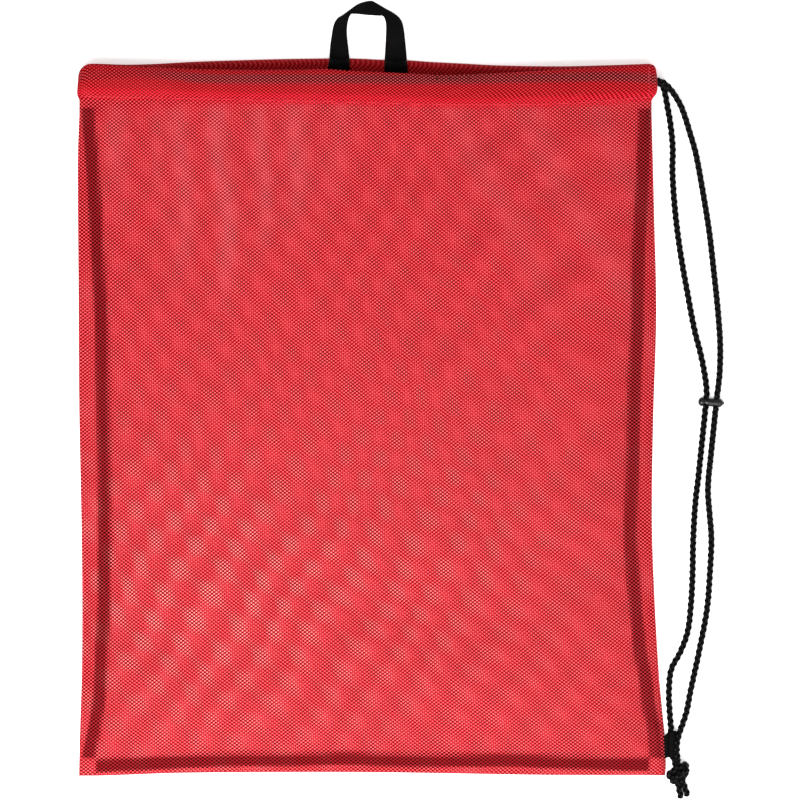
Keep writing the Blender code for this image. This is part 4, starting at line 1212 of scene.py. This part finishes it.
def make_hem_cord(finish):
    """The cord inside the hems: along the front tunnel, round the left end, back along the other."""
    x = np.linspace(245.2, -236.9, 60)
    front = np.stack([x, value_on(CHANNEL_Y, x), front_hem_middle(x)], axis=1)
    back = np.stack([x, value_on(CHANNEL_BACK_Y, x), CHANNEL_BACK_Z + 0 * x], axis=1)[::-1]
    centre = (front[-1] + back[0]) / 2
    arm = front[-1] - centre
    turn = []
    for k in range(1, 12):
        angle = math.pi * k / 12
        turn.append(centre + arm * math.cos(angle) - np.array((HEM_CORD_REACH * math.sin(angle), 0, 0)))
    line = np.concatenate([front, turn, back])
    mesh = cord_mesh("cord_in_hems", line, spacing=0.9, sides=18)
    piece(mesh, finish, "black_braid", "bag", "cord_in_hem")


def knot_routes():
    """The two cords through the overhand knot, in places about its centre."""
    first = (
        (-2.8, 10.3, -2.3), (-2.0, 6.6, -2.6), (-1.6, 2.4, -2.9), (-3.0, -2.2, -2.9),
        (-6.0, -4.0, -1.2), (-7.5, -1.4, 1.2), (-5.2, 1.2, 3.0), (-0.9, 3.6, 4.1), (3.4, 6.4, 3.4),
        (6.6, 7.0, 1.2), (6.8, 3.8, -1.4), (3.2, -1.0, -2.6), (0.0, -5.8, -2.4), (0.0, -9.0, -2.6),
    )
    second = (
        (-0.2, 11.4, 1.5), (0.2, 8.4, 1.5), (0.6, 5.2, 0.3), (0.9, 1.4, -1.6), (-0.6, -3.8, -2.2),
        (-3.8, -7.2, -0.4), (-4.8, -6.6, 2.0), (-1.5, -3.4, 4.0), (3.1, -0.2, 4.2), (6.7, 2.6, 2.4),
        (7.2, 0.2, 0.0), (5.4, -2.6, -1.4), (4.0, -5.8, -1.8), (3.6, -8.2, -2.4),
    )
    return [[KNOT_CENTRE + Vector(p) for p in route] for route in (first, second)]


def make_knot(finish):
    """The overhand knot below the tab, and its two cut tails."""
    meshes = []
    for number, route in enumerate(knot_routes()):
        meshes.append(cord_mesh(f"knot_{number}", smooth_route(route, 14), radius=2.2, spacing=0.45))
    pieces = [piece(joined("overhand_knot", meshes), finish, "black_braid", "tab", "cord_knot")]
    for side, route in (("left", LEFT_TAIL), ("right", RIGHT_TAIL)):
        mesh = cord_mesh(f"{side}_tail", smooth_route(route, 14), spacing=0.4, end_sealed=True)
        pieces.append(piece(mesh, finish, "black_braid", "tab", f"cord_{side}_tail"))
    return pieces


def declare_cords(strands, knot_pieces):
    """Works out each free strand's path and length in metres, and keeps neither."""
    for (side, part), (obj, line) in strands.items():
        path = [tuple(p * MM) for p in line]
        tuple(path[0])
        round(length_of(line) * MM, 4)


def smooth_profile(profile):
    """More points on a turned profile, on the smooth curve through the given ones."""
    places = [(a, 0.0, r) for a, r in profile]
    return [(p.x, max(p.z, 0.0)) for p in smooth_route(places, 4)]


def make_lock(finish):
    """The slider bead: a ball, a neck and a fluted body with a pointed end, bored for two strands."""
    sides = 56
    profile = smooth_profile(LOCK_PROFILE)
    turn = 2 * math.pi * np.arange(sides) / sides
    tilt = Matrix.Rotation(-math.atan(LOCK_SLOPE), 3, "Z")
    points = []
    for along, radius in profile:
        flute = 0.16 * float(smooth((along + 4.0) / 2.0)) * float(smooth((9.0 - along) / 2.5))
        for angle in turn:
            grooves = sum(math.exp(-((angle - middle) / 0.16) ** 2) for middle in LOCK_GROOVES)
            size = max(radius - flute * grooves, 0.02)
            place = Vector((along, size * math.cos(angle), size * math.sin(angle) * 0.92))
            points.append(tuple(tilt @ place + LOCK_CENTRE))
    grid = np.array(points).reshape(len(profile), sides, 3)
    mesh = grid_mesh("slider_bead", grid, np.zeros_like(grid), around=True, capped=True)
    body = bmesh.new()
    body.from_mesh(mesh)
    bmesh.ops.recalc_face_normals(body, faces=body.faces)
    body.to_mesh(mesh)
    body.free()
    obj = piece(mesh, finish, "lock_plastic", None)
    for number, along in enumerate(LOCK_HOLES):
        centre = LOCK_CENTRE + tilt @ Vector((along, 0, 0))
        bpy.ops.mesh.primitive_cylinder_add(
            vertices=40, radius=LOCK_HOLE * MM, depth=0.02, location=tuple(centre * MM),
            rotation=(math.pi / 2, 0, -math.atan(STRAND_SLOPE)),
        )
        cutter = bpy.context.object
        bore = obj.modifiers.new(f"bore_{number}", "BOOLEAN")
        bore.operation, bore.object, bore.solver = "DIFFERENCE", cutter, "EXACT"
        bpy.context.view_layer.update()
        shaped = bpy.data.meshes.new_from_object(obj.evaluated_get(bpy.context.evaluated_depsgraph_get()))
        obj.modifiers.clear()
        obj.data = shaped
        bpy.data.objects.remove(cutter, do_unlink=True)
    obj.data.shade_smooth()
    obj.data.set_sharp_from_angle(angle=math.radians(50))
    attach(obj, "lock")
    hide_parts("cord_lock")


# ---------------------------------------------------------------- stage


def make_stage():
    """Camera straight above, a pale floor, and soft lights above the bag's foot."""
    lens = bpy.data.cameras.new("camera")
    lens.lens, lens.sensor_width = CAMERA_LENS, 36.0
    lens.clip_start, lens.clip_end = 0.05, 30.0
    bpy.context.scene.camera = placed("camera", lens, [c * MM for c in (*CAMERA_AIM, CAMERA_HEIGHT)])

    mesh = bpy.data.meshes.new("floor")
    reach = FLOOR_REACH
    corners = [(-reach, -reach, 0), (reach, -reach, 0), (reach, reach, 0), (-reach, reach, 0)]
    mesh.from_pydata(corners, [], [(0, 1, 2, 3)])
    mesh.materials.append(floor_finish())
    placed("floor", mesh)

    for name, place, size, power in LIGHTS:
        light = bpy.data.lights.new(name, "AREA")
        light.size, light.energy = size, power
        lamp = placed(name, light, place)
        lamp.rotation_euler = (-Vector(place)).to_track_quat("-Z", "Y").to_euler()

    world = bpy.data.worlds.new("studio")
    world.use_nodes = True
    background = world.node_tree.nodes["Background"]
    background.inputs["Color"].default_value = (1.0, 1.0, 1.0, 1.0)
    background.inputs["Strength"].default_value = WORLD_STRENGTH
    bpy.context.scene.world = world
    bpy.context.scene.view_settings.view_transform = "Standard"


def main():
    make_stage()
    black_braid = braid("braided_cord", BRAID_BLACK)
    strands = make_strands(black_braid)
    declare_cords(strands, make_knot(black_braid))
    make_hem_cord(black_braid)
    make_lock(moulded("black_nylon"))

    front = make_front_cloth(mesh_cloth("red_mesh_front", hole=FRONT_HOLE, **RED))
    back_mesh = mesh_cloth("red_mesh_back", hole=BACK_HOLE, **RED)
    back = make_back_cloth(back_mesh)
    allowances = make_allowances(back_mesh)
    make_tapes(webbing("binding_tape_weave", TAPE_BLACK, rib=0.8, pick=0.8))
    stitches = make_hem_stitches(thread("red_polyester", *RED_THREAD))
    black_web = webbing("webbing_weave", WEB_BLACK)
    make_handle(black_web)
    make_bartacks(thread("black_polyester", *BLACK_THREAD))
    make_tab(black_web)

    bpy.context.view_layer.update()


main()
